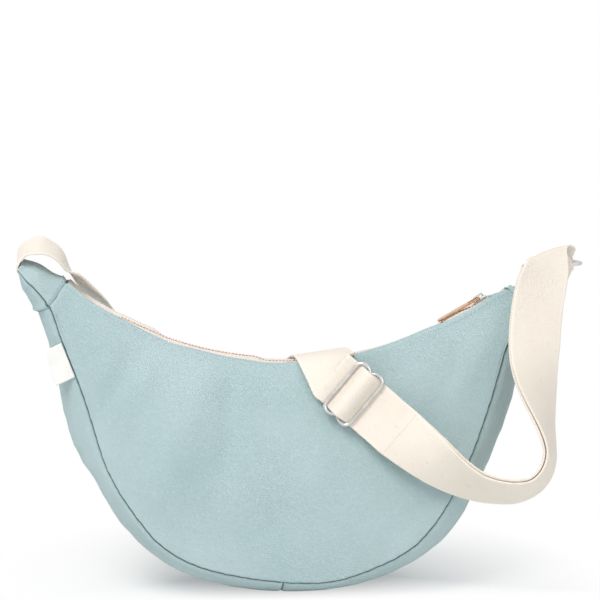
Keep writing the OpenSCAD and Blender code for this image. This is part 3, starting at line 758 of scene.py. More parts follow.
def cap_point(u, v, side):
    """A tip cap's front or back: v runs from 0 on the ridge of the cap to 1 at the seam."""
    share = in_cap(u)
    puff = math.sin(math.pi * min(share * 1.05, 1.0)) if share < 0.95 else 0.0
    pulled = LEFT_CORNER * (1 - ease(share / 0.42)) if u < 0 else 0.0
    ridge = place(u, top_xz(u) + np.array([0, 0.8 + 2.0 * share + 1.4 * puff + pulled]), 0)
    edge = place(u, top_xz(u) + np.array([0, pulled]), side * half_mouth(u))
    seam = place(u, seam_pt(u), side * half_depth(u))
    if v < CAP_BEND:
        t = v / CAP_BEND
        p = mix(ridge, edge, t)
        p[2] += (0.8 + 2 * share) * 0.48 * math.sin(math.pi * t)
    else:
        t = (v - CAP_BEND) / (1 - CAP_BEND)
        p = mix(edge, seam, t)
        p[1] += side * 1.5 * puff * math.sin(math.pi * t)
    # the cloth rounds the cap's shoulder
    p += bump(v - CAP_BEND, 0.16) * np.array([0, -side * 1.2, -0.9])
    p += seam_pull(u, side, np.linalg.norm(seam - edge) * (1 - v) / (1 - CAP_BEND))
    crease = 0.45 * ripple(share * 16 + v * 9, 0.7 + side) * math.sin(math.pi * v) * (1 - share * 0.5)
    p += np.array([0, side * crease * 0.6, crease])
    p += welt_at(share) * unit([0, side * max(v - 0.2, 0.0), 1 - 0.7 * v])
    return drawn_in(p, u)


def cap_side_point(u, w):
    """A tip cap's side: w runs from -1 at the front seam to 1 at the back seam."""
    share = in_cap(u)
    fall = 1 - abs(w) ** 2.4
    p = place(u, mix(seam_pt(u), crown_pt(u), fall), half_depth(u) * w)
    p += seam_pull(u, hand(w), half_depth(u) * (1 - abs(w)))
    out = CROWN_WAY * share + seam_out(1.0) * (1 - share)
    lift = welt_at(share) + 0.4 * ripple(share * 20, 0.4) * fall
    p += lift * np.array([hand(u) * out[0], 0, out[1]])
    return drawn_in(p, u)


def grid_uv(points, us, flat):
    """The cut's own coordinates, in metres: along and across the cloth, or x and z on a flat panel."""
    points = np.asarray(points)
    if flat:
        return points[:, :, [0, 2]] * MM
    lengthways = np.array([[seam_length(u)] * points.shape[1] for u in us])
    steps = np.linalg.norm(np.diff(points, axis=1), axis=2)
    across = np.concatenate([np.zeros((len(us), 1)), np.cumsum(steps, axis=1)], axis=1)
    return np.stack([lengthways, across], axis=2) * MM


def sew(name, node, at, shade, us, vs, turned, thick=WALL, flat=False):
    """A sheet of canvas: at gives its point and shade its painted seam shade at each station and place
    across.

    Its stations run the other way where it is turned, so that the outer face stays outside.
    """
    us = us[::-1] if turned else us
    grid = np.array([[at(u, v) for v in vs] for u in us])
    # painted seam shade for each point of the sheet
    crease = [[shade(u, v) for v in vs] for u in us]
    keep(cloth_piece(name, grid, grid_uv(grid, us, flat), CANVAS, thick, crease), "bag", "canvas", node)


def closer(vs, n, shares):
    """The rows of a sheet with the last n set closer to its seam: shares of the way that is left to go."""
    return np.concatenate([vs[:-n], 1 - (1 - vs[-n]) * np.array(shares)])


def both_ways(middle, n, close):
    """Places across a sheet between two seams: n even ones up to middle each way, and then those in close."""
    return np.concatenate([-np.array(close)[::-1], np.linspace(-middle, middle, n), close])


def sew_shell():
    us = np.linspace(-1, 1, 171)
    vs = np.concatenate([[-1, -0.66, -0.33], np.linspace(0, 1, 57) ** 0.9])
    vs = closer(vs, 6, [1, 0.8, 0.62, 0.46, 0.33, 0.23, 0.15, 0.09, 0.04, 0])
    for face, side, folds in (("front", -1, FRONT_FOLDS), ("back", 1, BACK_FOLDS)):
        def at(u, v):
            return panel_point(u, v, side, folds)

        def shade(u, v):
            return seam_shadow_at(np.linalg.norm(seam_pt(u) - top_xz(u)) * (1 - max(v, 0)))

        sew(f"bag_{face}_panel", f"{face}_panel", at, shade, us, vs, side > 0, flat=True)
        hem = []
        for u in us[1:-1]:
            edge = at(u, 0.0)
            hem.append(edge + 3.2 * unit(at(u, 0.03) - edge) + np.array([0, side * 0.12, 0.0]))
        keep(TEAL_STITCH.run(f"bag_{face}_panel_hem_stitches", [hem]), "bag", "canvas")

    def joined_shade(u, w):
        return seam_shadow_at(half_depth(u) * (1 - abs(w)), seam_length(u) - GUSSET_SEAM_T)

    ws = both_ways(0.87, 25, [0.915, 0.945, 0.965, 0.98, 0.992, 1])
    for way, low, high in (("left", -1, GUSSET_SEAM), ("right", GUSSET_SEAM, 1)):
        us = mix(low, high, 0.5 - 0.5 * np.cos(np.pi * np.linspace(0, 1, 131)))
        sew(f"bag_gusset_{way}", f"gusset_{way}", gusset_point, joined_shade, us, ws, False)


def sew_caps():
    vs = closer(np.linspace(0, 1, 35), 5, [1, 0.72, 0.5, 0.32, 0.16, 0])
    ws = both_ways(0.82, 21, [0.88, 0.93, 0.97, 1])
    shares = np.concatenate([[0, 0.01, 0.022, 0.038], np.linspace(0.06, 1, 33)])

    def side_shade(u, w):
        return seam_shadow_at(half_depth(u) * (1 - abs(w)), in_cap(u) * CAP_L)

    def face_shade(u, v):
        return seam_shadow_at(14 * (1 - v) / (1 - CAP_BEND), in_cap(u) * CAP_L)

    for way, sign in (("left", -1), ("right", 1)):
        us = sign * (1 + shares)
        for face, side in (("front", -1), ("back", 1)):
            def at(u, v):
                return cap_point(u, v, side)

            node = f"cap_{way}_{face}"
            sew(node + "_cloth", node, at, face_shade, us, vs, sign * side > 0, CAP_CLOTH)
            row = [at(sign * 1.09, v) + np.array([0, side * 0.15, 0.15]) for v in np.linspace(0.04, 0.95, 50)]
            keep(TEAL_STITCH.run(node + "_stitches", [row]), "bag", "canvas")
        node = f"cap_{way}_side"
        sew(node + "_cloth", node, cap_side_point, side_shade, us, ws, sign < 0, CAP_CLOTH)


# ---------------------------------------------------------------- the zip
TAPE_IN = CHAIN_W / 2 - 0.9           # the tape's inner edge, under the teeth
TAPE_SHARES = np.array([0, 0.07, 0.15, 0.25, 0.4, 0.6, 0.8, 1])
CHAIN_END = 36.8                      # the chain's half angle, in degrees
TOOTH_Y, TOOTH_LAG = 1.75, 1.3        # a row's distance from the middle, and how far the back row is behind


def zip_point(angle, y, height):
    a = math.radians(angle)
    r = ZIP_R - height
    x = r * math.sin(a)
    lift = (0.3 - 1.7 * zip_hidden(x)) * ease((TOP_HALF_ANGLE - abs(angle)) / 1.2) - 3.0 * ease((x - 150) / 5)
    lift += LEFT_CORNER * ease((-154 - x) / 12) + 0.8 * gape(x) * ease((x + 132) / 8)
    return np.array([x, y, TOP_C - r * math.cos(a) - droop(angle / TOP_HALF_ANGLE) + lift])


def zip_rise(angle):
    """How far the chain stands above the tape's outer edges, the tape sloping up to it."""
    x = ZIP_R * math.sin(math.radians(angle))
    return (0.9 + 0.7 * bump(x - 122, 14)) * (1 - zip_hidden(x)) * ease((141 - x) / 10) * ease((x + 134) / 10)


def tape_point(angle, y, side):
    """The tape slopes up to a ridge beside the teeth; the back one's edge stands up where the mouth gapes."""
    slope = zip_rise(angle) * (TAPE_OUT - y) / (TAPE_OUT - TAPE_IN)
    height = TAPE_T / 2 + slope + 0.45 * bump(y - CHAIN_W / 2, 0.9)
    if side > 0:
        x = ZIP_R * math.sin(math.radians(angle))
        height += 2.2 * gape(x) * max(y - 6.5, 0) / (TAPE_OUT - 6.5)
    return zip_point(angle, side * y, height)


def make_zip():
    angles = np.linspace(-ZIP_END, ZIP_END, 181)
    ys = TAPE_IN + (TAPE_OUT - TAPE_IN) * TAPE_SHARES
    for face, side in (("front", -1), ("back", 1)):
        turned = angles if side < 0 else angles[::-1]
        grid = [[tape_point(a, y, side) for y in ys] for a in turned]
        uv = np.array([[(math.radians(a) * ZIP_R, y) for y in ys] for a in turned]) * MM
        node = f"zip_tape_{face}"
        keep(cloth_piece(node + "_cloth", grid, uv, TAPE, TAPE_T), "bag", "zip_tape", node)
        start = -CHAIN_END + (math.degrees(TOOTH_LAG / ZIP_R) if side > 0 else 0.0)
        line = [zip_point(a, side * TOOTH_Y, zip_rise(a) - 0.1) for a in np.linspace(start, CHAIN_END, 300)]
        teeth = TOOTH_ROW.run(f"zip_teeth_{face}_row", [line], Side=float(side))
        keep(teeth, "bag", "copper_metal", f"zip_teeth_{face}")


def worn_copy(name, node, body, slot, material, radius):
    """A machined piece with its edges broken: a copy of the solid, merged and bevelled."""
    mesh = frame["nodes"][node].data.copy()
    shape = bmesh.new()
    shape.from_mesh(mesh)
    bmesh.ops.remove_doubles(shape, verts=shape.verts, dist=1e-6)
    bmesh.ops.dissolve_limit(shape, angle_limit=math.radians(1), verts=shape.verts, edges=shape.edges)
    sharp = [e for e in shape.edges if len(e.link_faces) == 2 and e.calc_face_angle() > math.radians(35)]
    bmesh.ops.bevel(shape, geom=sharp, offset=radius * MM, segments=2, profile=0.6, affect="EDGES",
                    clamp_overlap=True)
    bmesh.ops.triangulate(shape, faces=shape.faces)
    shape.to_mesh(mesh)
    shape.free()
    mesh.materials.clear()
    mesh.materials.append(material)
    mesh.polygons.foreach_set("use_smooth", [False] * len(mesh.polygons))
    keep(put(name, mesh), body, slot, node)


# ---------------------------------------------------------------- wire fittings
WIRE_SIDES = 18


def tube(name, path, radius, material, closed=False):
    """A round wire along points in mm; radius is a number, or one for each point."""
    path = np.asarray(path, float)
    n = len(path)
    radius = np.broadcast_to(radius, n)
    tangent = np.roll(path, -1, axis=0) - np.roll(path, 1, axis=0) if closed else np.gradient(path, axis=0)
    tangent /= np.linalg.norm(tangent, axis=1, keepdims=True)
    normal = np.cross(tangent[0], [0.3, 0.5, 0.81])
    rows = []
    for t in tangent:
        normal = unit(normal - t * (normal @ t))
        rows.append((normal, np.cross(t, normal)))
    turn = 0.0
    if closed:                        # spread the leftover twist along the loop
        last = unit(rows[-1][0] - tangent[0] * (rows[-1][0] @ tangent[0]))
        turn = math.atan2(last @ rows[0][1], last @ rows[0][0])
    verts = []
    for k in range(n):
        for s in range(WIRE_SIDES):
            a = 2 * math.pi * s / WIRE_SIDES - turn * k / n
            verts.append(path[k] + radius[k] * (math.cos(a) * rows[k][0] + math.sin(a) * rows[k][1]))
    return new_piece(name, verts, ring_faces(n, WIRE_SIDES, closed), material)


def loop_points(length, width, bend, pinch):
    """Points round a rounded rectangle, evenly along each side; the short sides bow in by pinch."""
    x, y = length / 2 - WIRE_D / 2, width / 2 - WIRE_D / 2
    half = []

    def side(ax, ay, bx, by, n):
        half.extend((mix(ax, bx, k / n), mix(ay, by, k / n)) for k in range(1, n + 1))

    def arc(cx, first):
        for k in range(1, 9):
            a = math.radians(first + k * 90 / 8)
            half.append((cx + bend * math.cos(a), y - bend + bend * math.sin(a)))

    side(x, -(y - bend), x, y - bend, 24)
    arc(x - bend, 0)
    side(x - bend, y, -(x - bend), y, 20)
    arc(-(x - bend), 90)
    out = []
    for px, py in half + [(-px, -py) for px, py in half]:
        near = ease((abs(px) - (x - 4)) / 4)
        out.append((px - math.copysign(pinch * bump(py, 3.0) * near, px), py))
    return out


# the slider's and the ring's middle, and their axes: along the bars, across them and out of the frame
GLIDE_AT = np.array([45.5, -36.0, 159.0])
GLIDE_TURN, GLIDE_LEAN = math.radians(50), math.radians(72)
GLIDE_X = np.array([math.cos(GLIDE_TURN), 0, math.sin(GLIDE_TURN)])
GLIDE_Y = np.array([-math.sin(GLIDE_TURN) * math.sin(GLIDE_LEAN), math.cos(GLIDE_LEAN),
                    math.cos(GLIDE_TURN) * math.sin(GLIDE_LEAN)])
GLIDE_Z = np.cross(GLIDE_X, GLIDE_Y)
RING_TURN, RING_ROLL = math.radians(20), math.radians(5)
RING_X = np.array([math.cos(RING_TURN) * math.cos(RING_ROLL), math.sin(RING_TURN) * math.cos(RING_ROLL),
                   math.sin(RING_ROLL)])
RING_Y = np.array([-math.sin(RING_TURN), math.cos(RING_TURN), 0])
RING_Z = np.cross(RING_X, RING_Y)
RING_AT = np.array([199.1, 0.9, 249.0]) + 2.0 * RING_X      # it has slid to one end of its bars' play
BAR_Y = RING_W / 2 - WIRE_D / 2
RING_WELD = 66                        # the point of the ring's loop where its ends are welded
GLIDE_WIRE = 0.9 * WIRE_D / 2         # the slider's wire looks a little thinner than the ring's
GLIDE_PINCH = 2.4                     # how far the slider's short sides bow in


def join(name, pieces):
    """One object from several, all at the origin and of one material."""
    shape = bmesh.new()
    mesh = bpy.data.meshes.new(name)
    mesh.materials.append(pieces[0].data.materials[0])
    for p in pieces:
        shape.from_mesh(p.data)
        bpy.data.objects.remove(p)
    shape.to_mesh(mesh)
    shape.free()
    return put(name, mesh)


def bend_wires():
    outline = loop_points(FRAME_L, GLIDE_W, 5.0, GLIDE_PINCH)
    loop = [GLIDE_AT + px * GLIDE_X + py * GLIDE_Y for px, py in outline]
    x = FRAME_L / 2 - WIRE_D / 2 - GLIDE_PINCH
    ts = np.linspace(-x, x, 33)
    bar = [GLIDE_AT + t * GLIDE_X for t in ts]
    weld = [GLIDE_WIRE * (1 + 0.12 * bump(x - abs(t), 1.6)) for t in ts]
    glide = join("strap_slider_wire", [tube("glide_loop", loop, GLIDE_WIRE, SILVER, closed=True),
                                       tube("glide_bar", bar, weld, SILVER)])
    keep(glide, "glide", "silver_metal", "tri_glide")
    loop = [RING_AT + px * RING_X + py * RING_Y for px, py in loop_points(FRAME_L, RING_W, 3.5, 0.0)]
    swell = [WIRE_D / 2 * (1 + 0.07 * bump(k - RING_WELD, 1.5)) for k in range(len(loop))]
    keep(tube("strap_ring_wire", loop, swell, SILVER, closed=True), "ring", "silver_metal", "strap_ring")


# ---------------------------------------------------------------- the webbing
def spline(a, b, c, d, t):
    return 0.5 * (2 * b + (c - a) * t + (2 * a - 5 * b + 4 * c - d) * t * t + (3 * b - a - 3 * c + d) * t**3)


def fine(rows, n):
    """The rows with n steps of a smooth curve from each to the next."""
    m = len(rows) - 1
    out = []
    for i in range(m):
        a, b, c, d = rows[max(i - 1, 0)], rows[i], rows[i + 1], rows[min(i + 2, m)]
        out += [tuple(spline(a[k], b[k], c[k], d[k], j / n) for k in (0, 1)) for j in range(n)]
    return out + [rows[m]]


def as_rows(table):
    return [(np.array(r[:3], float), np.array(r[3:], float)) for r in table]


def face_normals(rows):
    centres = np.array([r[0] for r in rows])
    tangents = np.gradient(centres, axis=0)
    n = np.cross(tangents, np.array([r[1] for r in rows]))
    return n / np.linalg.norm(n, axis=1, keepdims=True)


def moved(rows, h):
    """The rows shifted by h mm off their face."""
    n = face_normals(rows)
    h = np.broadcast_to(h, len(rows))
    return [(r[0] + h[k] * n[k], r[1]) for k, r in enumerate(rows)]


SELVEDGE, TICK = 0.42, 2.3            # height and pitch of the weave's turns at the webbing's edges
# where before the ring a layer's left edge slumps, over what length, and how far
SLUMP_AT, SLUMP_L, SLUMP = 17, 9.5, 6.2


# How each layer lies when it is to_ring mm from the ring: its width's share, the shift of its middle and the
# slump of its left edge, in mm. The front layer turns over the crest, the rear one is gathered on the bar.
def outer_lies(to_ring):
    turned, gathered = bump(to_ring - 27, 13), ease((14 - to_ring) / 12)
    slump = SLUMP * bump(to_ring - SLUMP_AT, SLUMP_L)
    return mix(1 - 0.09 * turned, 0.9, gathered), mix(-2.1 * turned, -2.0, gathered), slump


def inner_lies(to_ring):
    gathered = ease((30 - to_ring) / 26)
    return mix(1.0, 0.74, gathered), -5.0 * gathered, SLUMP * bump(to_ring - SLUMP_AT, SLUMP_L)


def bend_lies(to_end):
    t = min(to_end / 14.5, 1.0)
    return mix(0.74, 0.9, t), mix(-5.0, -2.0, t), 0.0


def lies_flat(to_end):
    return 1.0, 0.0, 0.0


# the section of the webbing from one edge to the other: place across, and share of the half thickness there
EDGE_PROFILE = [(1, 0.35), (0.985, 0.82), (0.955, 1.08), (0.9, 1.0), (0.6, 1.0), (0.3, 1.0)]
FACE_PROFILE = [(-q, lift) for q, lift in EDGE_PROFILE] + [(0, 1.0)] + EDGE_PROFILE[::-1]


def webbing(name, rows, start=0.0, step=0.6, lies=lies_flat):
    """A flat woven strap through rows of (centre, direction across), evenly stepped along its length."""
    table = np.array([np.concatenate(r) for r in rows])
    run = np.concatenate([[0], np.cumsum(np.linalg.norm(np.diff(table[:, :3], axis=0), axis=1))])
    n = max(int(run[-1] / step), 4)
    at = np.linspace(0, run[-1], n + 1)
    even = np.stack([np.interp(at, run, table[:, k]) for k in range(6)], axis=1)
    centres, across = even[:, :3], even[:, 3:]
    for _ in range(2):                # round the corners between the rows
        centres[1:-1] = (centres[:-2] + 2 * centres[1:-1] + centres[2:]) / 4
    normals = face_normals(list(zip(centres, across)))
    verts, uvs = [], []
    for k in range(n + 1):
        tick = SELVEDGE * math.sin(2 * math.pi * (at[k] + start) / TICK)
        share, shift, slumped = lies(run[-1] - at[k])
        for face in (1, -1):
            for q, thick in FACE_PROFILE[::face]:
                turned = math.copysign(tick * face, q) if abs(q) > 0.98 else 0.0
                spread = (STRAP_W / 2 * q + turned) * share + shift
                lift = face * STRAP_T / 2 * thick + slumped * (max(0.4 - q, 0) / 1.4) ** 2
                verts.append(centres[k] + across[k] * spread + normals[k] * lift)
                uvs.append(((q + 1) / 2 * STRAP_W * MM, (at[k] + start) * MM))
    piece = new_piece(name, verts, ring_faces(n + 1, 2 * len(FACE_PROFILE)), WEBBING, uvs)
    for end in piece.data.polygons[-2:]:
        end.use_smooth = False
    return piece


# rows of the strap: its middle's x, y and z, and the direction across it
REAR_ROWS = as_rows([
    (-183, 0, 230.5, 0, 1, 0), (-191.5, 0, 240, 0, 1, 0), (-201, 0, 250.5, 0, 1, 0),
    (-202.3, 0, 257.5, -0.1, 0.99, 0), (-198, 0, 264.8, -0.15, 0.97, 0.1), (-188, 0, 268.2, 0, 0.97, 0.22),
    (-179.6, 3, 265.6, 0.02, 0.97, 0.14), (-172, 6, 259.3, 0.01, 0.98, 0.08),
    (-166.4, 10, 248.2, -0.01, 0.99, -0.1), (-158.3, 17, 238.6, -0.05, 0.93, -0.36),
    (-149.3, 28, 227.6, -0.06, 0.92, -0.38), (-142.3, 37, 218.6, -0.06, 0.92, -0.38),
    (-134, 46.5, 206.5, -0.04, 0.93, -0.36), (-109, 57, 171, 0.04, 0.96, -0.27),
    (-82, 65, 140, 0.1, 0.98, -0.12), (-52, 68, 123, 0, 1, 0), (-22, 67, 124, -0.12, 0.98, 0.12),
    (-3, 61, 140, -0.38, 0.9, 0.2), (8.5, 48, 158, -0.72, 0.66, 0.12),
    (16.3, 32, 171.4, -0.93, 0.34, -0.05), (21, 16, 180.7, -0.98, 0.1, -0.12)])
CROSS_ROWS = as_rows([
    (23.6, 1, 184.4, -1, 0, -0.14), (26.2, -12.4, 183, -1, -0.1, -0.18),
    (29.6, -22, 176.6, -0.86, -0.08, -0.5)])
WRAP_IN = WIRE_D / 2 + WRAP_GAP
BAR_AT = (GLIDE_W - WIRE_D) / 2
# heights off the slider's frame: over its middle bar, under its outer bars, the inner layer and the sewn end
OVER = WRAP_IN + 1.5 * STRAP_T + 0.4
UNDER = -WIRE_D / 2 - STRAP_T / 2 - 0.5
INNER = UNDER - STRAP_T - 0.7
SEWN = UNDER - 1.5 * STRAP_T - 0.5
# along the slider: distance down the strap, and height off the slider's frame
WEAVE = [(-BAR_AT - 10, UNDER + 1.3), (-BAR_AT - 4, UNDER + 0.5), (-BAR_AT, UNDER),
         (-0.65 * BAR_AT, UNDER + 1.8), (-4, OVER - 1.8), (0, OVER), (4, OVER - 1.8),
         (0.65 * BAR_AT, UNDER + 1.8), (BAR_AT, UNDER), (BAR_AT + 6, UNDER), (BAR_AT + 20, UNDER + 0.2),
         (BAR_AT + 33.5, UNDER + 0.3)]
OVER_BAR = 8                          # the row of WEAVE where the strap is cut in two spans
TAIL = [(SEWN_L, INNER), (SEWN_L + 10, INNER + 0.1), (SEWN_L + 22, INNER + 0.2)]
LOOP_ROWS = as_rows([
    (100, -59, 114, -0.5, 0.45, -0.74), (117, -60, 101.5, -0.28, 0.64, -0.71),
    (134, -60.5, 92.5, -0.08, 0.75, -0.65), (150, -61, 88.5, 0.06, 0.79, -0.61),
    (165, -62, 88, 0.15, 0.81, -0.57), (178, -61, 92, 0.27, 0.84, -0.47),
    (187, -59, 101, 0.33, 0.86, -0.39), (191, -57, 113, 0.35, 0.88, -0.31),
    (190.5, -54.5, 125, 0.38, 0.91, -0.19), (188, -52, 137, 0.48, 0.86, -0.18),
    (185, -50, 150, 0.64, 0.76, -0.15), (182, -48, 164, 0.8, 0.59, -0.11),
    (180, -46, 179, 0.91, 0.4, -0.07), (180, -43, 194, 0.97, 0.23, -0.05),
    (181, -40, 208, 0.98, 0.19, -0.03), (183, -36.5, 223, 0.98, 0.18, -0.02),
    (186.5, -33, 240, 0.98, 0.19, 0), (190, -30, 252.5, 0.95, 0.3, 0.05),
    (193.5, -24, 260.5, 0.9, 0.42, 0.1)])
CREST = as_rows([(196, -15.5, 263.5, 0.92, 0.36, 0.14)])[0]     # where the strap turns over above the ring
LAYER_GAP = 2.6                       # between the middles of the two layers
BEND_MID = WRAP_IN + 0.7 + STRAP_T / 2      # mid radius of the strap's turn round the ring's bar
LEG = 4.0                             # how far from the ring's bar a layer ends
SUB = 8                               # steps of the spline between two rows


def glide_row(along_strap, height):
    return GLIDE_AT - along_strap * GLIDE_Y + height * GLIDE_Z, -GLIDE_X


def ring_row(y, z):
    return RING_AT + y * RING_Y + z * RING_Z, RING_X


def length_of(rows):
    centres = np.array([r[0] for r in rows])
    return np.linalg.norm(np.diff(centres, axis=0), axis=1).sum()


def thread_strap():
    outer_leg = ring_row(-BAR_Y + BEND_MID, LEG)
    top_row = (outer_leg[0] + np.array([0, -2.5, 6.4]), RING_X + np.array([0, 0, 0.02]))
    weave_rows = [glide_row(*p) for p in WEAVE]
    last_rows = [CREST, top_row, (outer_leg[0] + 1.4 * RING_Z, RING_X)]
    strap = fine(REAR_ROWS + CROSS_ROWS + weave_rows + LOOP_ROWS + last_rows, SUB) + [outer_leg]
    rear_end = SUB * (len(REAR_ROWS) - 1)
    over_bar = SUB * (len(REAR_ROWS) + len(CROSS_ROWS) + OVER_BAR)
    span_end = rear_end + SUB * (len(CROSS_ROWS) + len(WEAVE))
    near_end = span_end + SUB * len(LOOP_ROWS)

    def cut(name, first, last, **lie):
        return webbing(name, strap[first:last + 1], length_of(strap[:first + 1]), **lie)

    keep(cut("strap_rear_webbing", 0, rear_end), "bag", "webbing", "strap_rear_run")
    upper = cut("strap_span_upper", rear_end, over_bar)
    lower = cut("strap_span_lower", over_bar, span_end)
    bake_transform(upper)
    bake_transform(lower)
    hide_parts("strap_front_span")
    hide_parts("strap_front_span")
    outer = cut("strap_outer_webbing", span_end, len(strap) - 1, lies=outer_lies)
    keep(outer, "bag", "webbing", "strap_outer_layer")

    # the layer under it, from the sewn end's side of the slider round to the ring
    tail = fine([glide_row(*p) for p in TAIL], SUB)
    layer = moved(strap, LAYER_GAP)[span_end + 3:near_end - 2]
    crest = (CREST[0] + np.array([0, -1.5, -3]), CREST[1])
    last = ring_row(-BAR_Y - BEND_MID, LEG)
    inner = fine(tail[::SUB] + layer[::4] + [crest, (last[0] + 1.4 * RING_Z, RING_X)], 4) + [last]
    split = 4 * (len(TAIL) - 1)
    inner_span = webbing("strap_inner_span_webbing", inner[:split + 1], 11.0)
    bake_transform(inner_span)
    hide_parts("strap_inner_span")
    inner_layer = webbing("strap_inner_webbing", inner[split:], 33.0, lies=inner_lies)
    keep(inner_layer, "bag", "webbing", "strap_inner_layer")

    # the half turn round the ring's front bar
    turn = [(BEND_MID * math.cos(a), BEND_MID * math.sin(a)) for a in np.linspace(0, -math.pi, 15)]
    turn = [(BEND_MID, LEG), (BEND_MID, LEG / 2)] + turn + [(-BEND_MID, LEG / 2), (-BEND_MID, LEG)]
    rows = [ring_row(-BAR_Y + y, z) for y, z in turn]
    bend = webbing("strap_ring_bend_webbing", rows, 5.0, step=0.5, lies=bend_lies)
    keep(bend, "bag", "webbing", "strap_ring_bend")


STITCH_ROW_HALF = 17.5                # half length of the stitch rows across the strap


def sew_ends():
    """The strap's sewn end on the slider, and the tab that holds the ring."""
    wrap = WRAP_IN + STRAP_T / 2
    path = [(wrap * math.cos(a), wrap * math.sin(a)) for a in np.radians(np.arange(50, 281, 10))]
    laps = (SEWN_L - 0.1, 18, 12, 9)
    path = [(p, SEWN + STRAP_T / 2) for p in laps] + path + [(p, SEWN - STRAP_T / 2) for p in laps[::-1]]
    end = webbing("strap_sewn_end_webbing", [glide_row(*p) for p in path], 3.0, step=0.5)
    keep(end, "glide", "webbing", "strap_sewn_end")
    across = np.linspace(-STITCH_ROW_HALF, STITCH_ROW_HALF, 30)
    rows = [[glide_row(p, SEWN + face * (STRAP_T + 0.1))[0] + t * GLIDE_X for t in across]
            for p in (11.5, 21.0) for face in (1, -1)]
    keep(CREAM_STITCH.run("strap_end_stitches", rows, Length=0.003), "glide", "webbing")

    tip = np.array([CAP_END[0], 0, CAP_END[1] - RIGHT_DROOP])
    tilt = math.radians(155)
    lean = -math.sin(tilt) * RING_Y + math.cos(tilt) * RING_Z
    bar = RING_AT + BAR_Y * RING_Y
    middle = [(tip + [-7.6, 0, -11.2], np.array([0, 1, 0])), (tip + [3.2, 0, -5.2], np.array([0, 1, 0])),
              (tip + [9.2, 0.8, 0.6], np.array([0.36, 0.93, -0.04])),
              (RING_AT + [2.8, 5.2, -8.2], np.array([0.8, 0.6, 0.04]))]
    middle = fine(middle + [(bar + t * lean, RING_X) for t in (5, 2.6)], SUB)
    flare = 1.0 + 0.8 * np.array([ease((t - 0.75) / 0.25) for t in np.linspace(0, 1, len(middle))])
    away = unit(np.cross(-lean, RING_X))
    turn = [(bar + wrap * (math.cos(a) * away - math.sin(a) * lean), RING_X)
            for a in np.linspace(0, math.pi, 15)]
    rows = moved(middle, flare)[:-4] + turn + moved(middle, -flare)[:-4][::-1]
    keep(webbing("ring_tab_webbing", rows, 2.0, step=0.5), "bag", "webbing", "ring_tab")
    sewn_at = int(len(middle) * 0.78)
    centre, way = middle[sewn_at]
    off = face_normals(middle)[sewn_at] * (flare[sewn_at] + 1.0)
    rows = [[centre + side * off + t * unit(way) for t in np.linspace(-17, 17, 30)] for side in (1, -1)]
    keep(CREAM_STITCH.run("ring_tab_stitches", rows, Length=0.003), "bag", "webbing")


# ---------------------------------------------------------------- the label
LABEL_AT, LABEL_H, LABEL_W = 0.868, 27.0, 15.0      # its place on the left seam, its height and width


def sew_label():
    """A bare folded label in the left front seam, curling a little at its free edge."""
    a, b, mid = (seam_pt(-LABEL_AT + step) for step in (0.045, -0.045, 0))
    lean = math.atan2(b[0] - a[0], b[1] - a[1])
    origin = np.array([-mid[0] - 0.4, -half_depth(LABEL_AT) - 0.3, mid[1] + 2.0])

    def flat(s, t):
        return -(LABEL_W - 2.5 * ease(t + 0.5)) * s, mix(t * LABEL_H, t * LABEL_H - 1, s)

    def hung(s, t):
        x, z = flat(s, t)
        c, n = math.cos(lean), math.sin(lean)
        curl = -0.5 + 0.55 * s * s - 0.35 * math.sin(math.pi * s) + 0.18 * math.sin(7 * t + 3 * s)
        return origin + [x * c - z * n, curl, x * n + z * c]

    outwards, upwards = np.linspace(0, 1, 25), np.linspace(-0.5, 0.5, 35)
    grid = [[hung(s, t) for t in upwards] for s in outwards]
    uv = np.array([[flat(s, t) for t in upwards] for s in outwards]) * MM
    keep(cloth_piece("label_tape_blank", grid, uv, LABEL, thick=0.9), "bag", "label_cloth", "label")
    row = [p + [0, -0.1, 0] for p in grid[4][2:33]]
    keep(CREAM_STITCH.run("label_stitches", [row], Length=0.0022, Thickness=0.0004), "bag", "label_cloth")


# ---------------------------------------------------------------- floor, light and camera
# in metres and degrees
FLOOR_HALF = 6.0
WORLD_LEVEL = 0.66
LAMP_AIM = Vector((0.0, 0.0, 0.12))
CAM_AZIMUTH, CAM_ELEVATION, CAM_DISTANCE = -4.0, 8.0, 1.3
CAM_TARGET = Vector((0.0081, 0.0, 0.225))


def lay_floor():
    """White paper that shades near the bag and, to rays that end in the picture, glows white further out; in
    front of the bag it glows white to them as well, a painted light over the bag's own shadow there.
    """
    floor = Finish("floor_paper", (0.9, 0.9, 0.9), 0.95)
    at = floor.object_coords()
    far = floor.node("ShaderNodeVectorMath", {0: at}, operation="LENGTH").outputs["Value"]
    before = floor.node("ShaderNodeSeparateXYZ", {0: at}).outputs[1]
    # before is the floor's y: in front of the bag the floor glows white to the camera, painting light over
    # the bag's shadow there
    white = floor.maths("MAXIMUM", floor.span(far, 0.07, 0.25), floor.span(before, 0.03, -0.03, 0.0, 0.97))
    glow = floor.node("ShaderNodeEmission", {"Color": (1, 1, 1, 1), "Strength": 1.0}).outputs[0]
    fade = floor.times(white, floor.seen_rays())
    both = floor.node("ShaderNodeMixShader", {0: fade, 1: floor.shader.outputs[0], 2: glow})
    floor.tree.links.new(both.outputs[0], floor.tree.nodes["Material Output"].inputs[0])
    mesh = bpy.data.meshes.new("studio_floor")
    w = FLOOR_HALF
    mesh.from_pydata([(-w, -w, 0), (w, -w, 0), (w, w, 0), (-w, w, 0)], [], [(0, 1, 2, 3)])
    mesh.materials.append(floor.material)
    put("studio_floor", mesh)


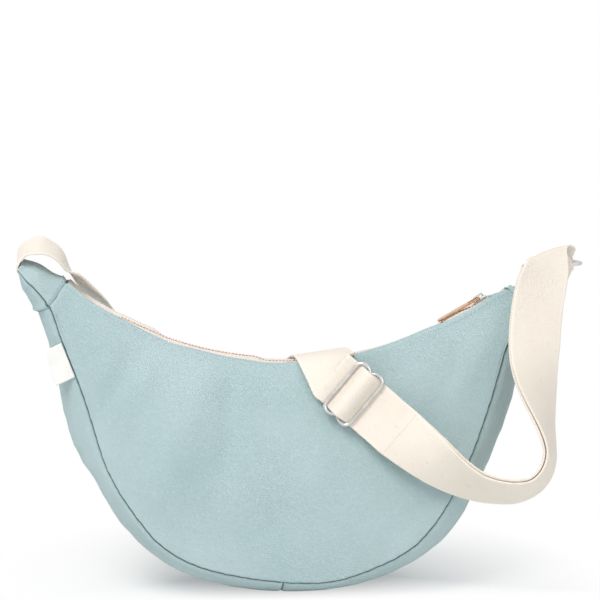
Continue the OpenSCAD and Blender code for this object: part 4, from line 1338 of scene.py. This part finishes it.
def light_world():
    """White to the rays that end in the picture, and a dimmer, cooler light on the bag."""
    world = bpy.data.worlds.new("studio_white")
    bpy.context.scene.world = world
    world.use_nodes = True
    world.node_tree.nodes.clear()
    sky = Nodes(world.node_tree)
    shown, lighting = (sky.node("ShaderNodeBackground", {"Color": colour, "Strength": level}).outputs[0]
                       for colour, level in (((1, 1, 1, 1), 1.0), ((0.97, 0.985, 1, 1), WORLD_LEVEL)))
    mixed = sky.node("ShaderNodeMixShader", {0: sky.seen_rays(), 1: lighting, 2: shown})
    sky.node("ShaderNodeOutputWorld", {0: mixed.outputs[0]})


def hang_lamp(name, at, size, power):
    lamp = bpy.data.lights.new(name, "AREA")
    lamp.shape, lamp.size, lamp.energy = "SQUARE", size, power
    lamp.color = (1.0, 0.985, 0.965)
    thing = put(name, lamp)
    thing.location = at
    thing.rotation_euler = (LAMP_AIM - Vector(at)).to_track_quat("-Z", "Y").to_euler()


def set_camera():
    cam = bpy.data.cameras.new("studio_camera")
    cam.sensor_width, cam.lens = 36.0, 103.0
    thing = put("studio_camera", cam)
    az, el = math.radians(CAM_AZIMUTH), math.radians(CAM_ELEVATION)
    back = Vector((math.sin(az) * math.cos(el), -math.cos(az) * math.cos(el), math.sin(el)))
    thing.location = CAM_TARGET + CAM_DISTANCE * back
    thing.rotation_euler = (-back).to_track_quat("-Z", "Y").to_euler()
    bpy.context.scene.camera = thing
    bpy.context.scene.view_settings.view_transform = "Standard"


set_camera()
lay_floor()
light_world()
hang_lamp("key_lamp", (-0.7, -0.9, 1.6), 0.8, 19)
hang_lamp("fill_lamp", (1.0, -1.5, 1.0), 1.2, 5)
sew_shell()
sew_caps()
make_zip()
worn_copy("zip_bottom_stop_metal", "zip_bottom_stop", "bag", "copper_metal", COPPER, 0.35)
worn_copy("zip_top_stops_metal", "zip_top_stops", "bag", "copper_metal", COPPER, 0.3)
worn_copy("zip_slider_metal", "zip_slider", "slider", "silver_metal", SILVER, 0.22)
worn_copy("zip_pull_metal", "zip_pull", "pull", "copper_metal", PULL_COPPER, 0.25)
bend_wires()
thread_strap()
sew_ends()
sew_label()
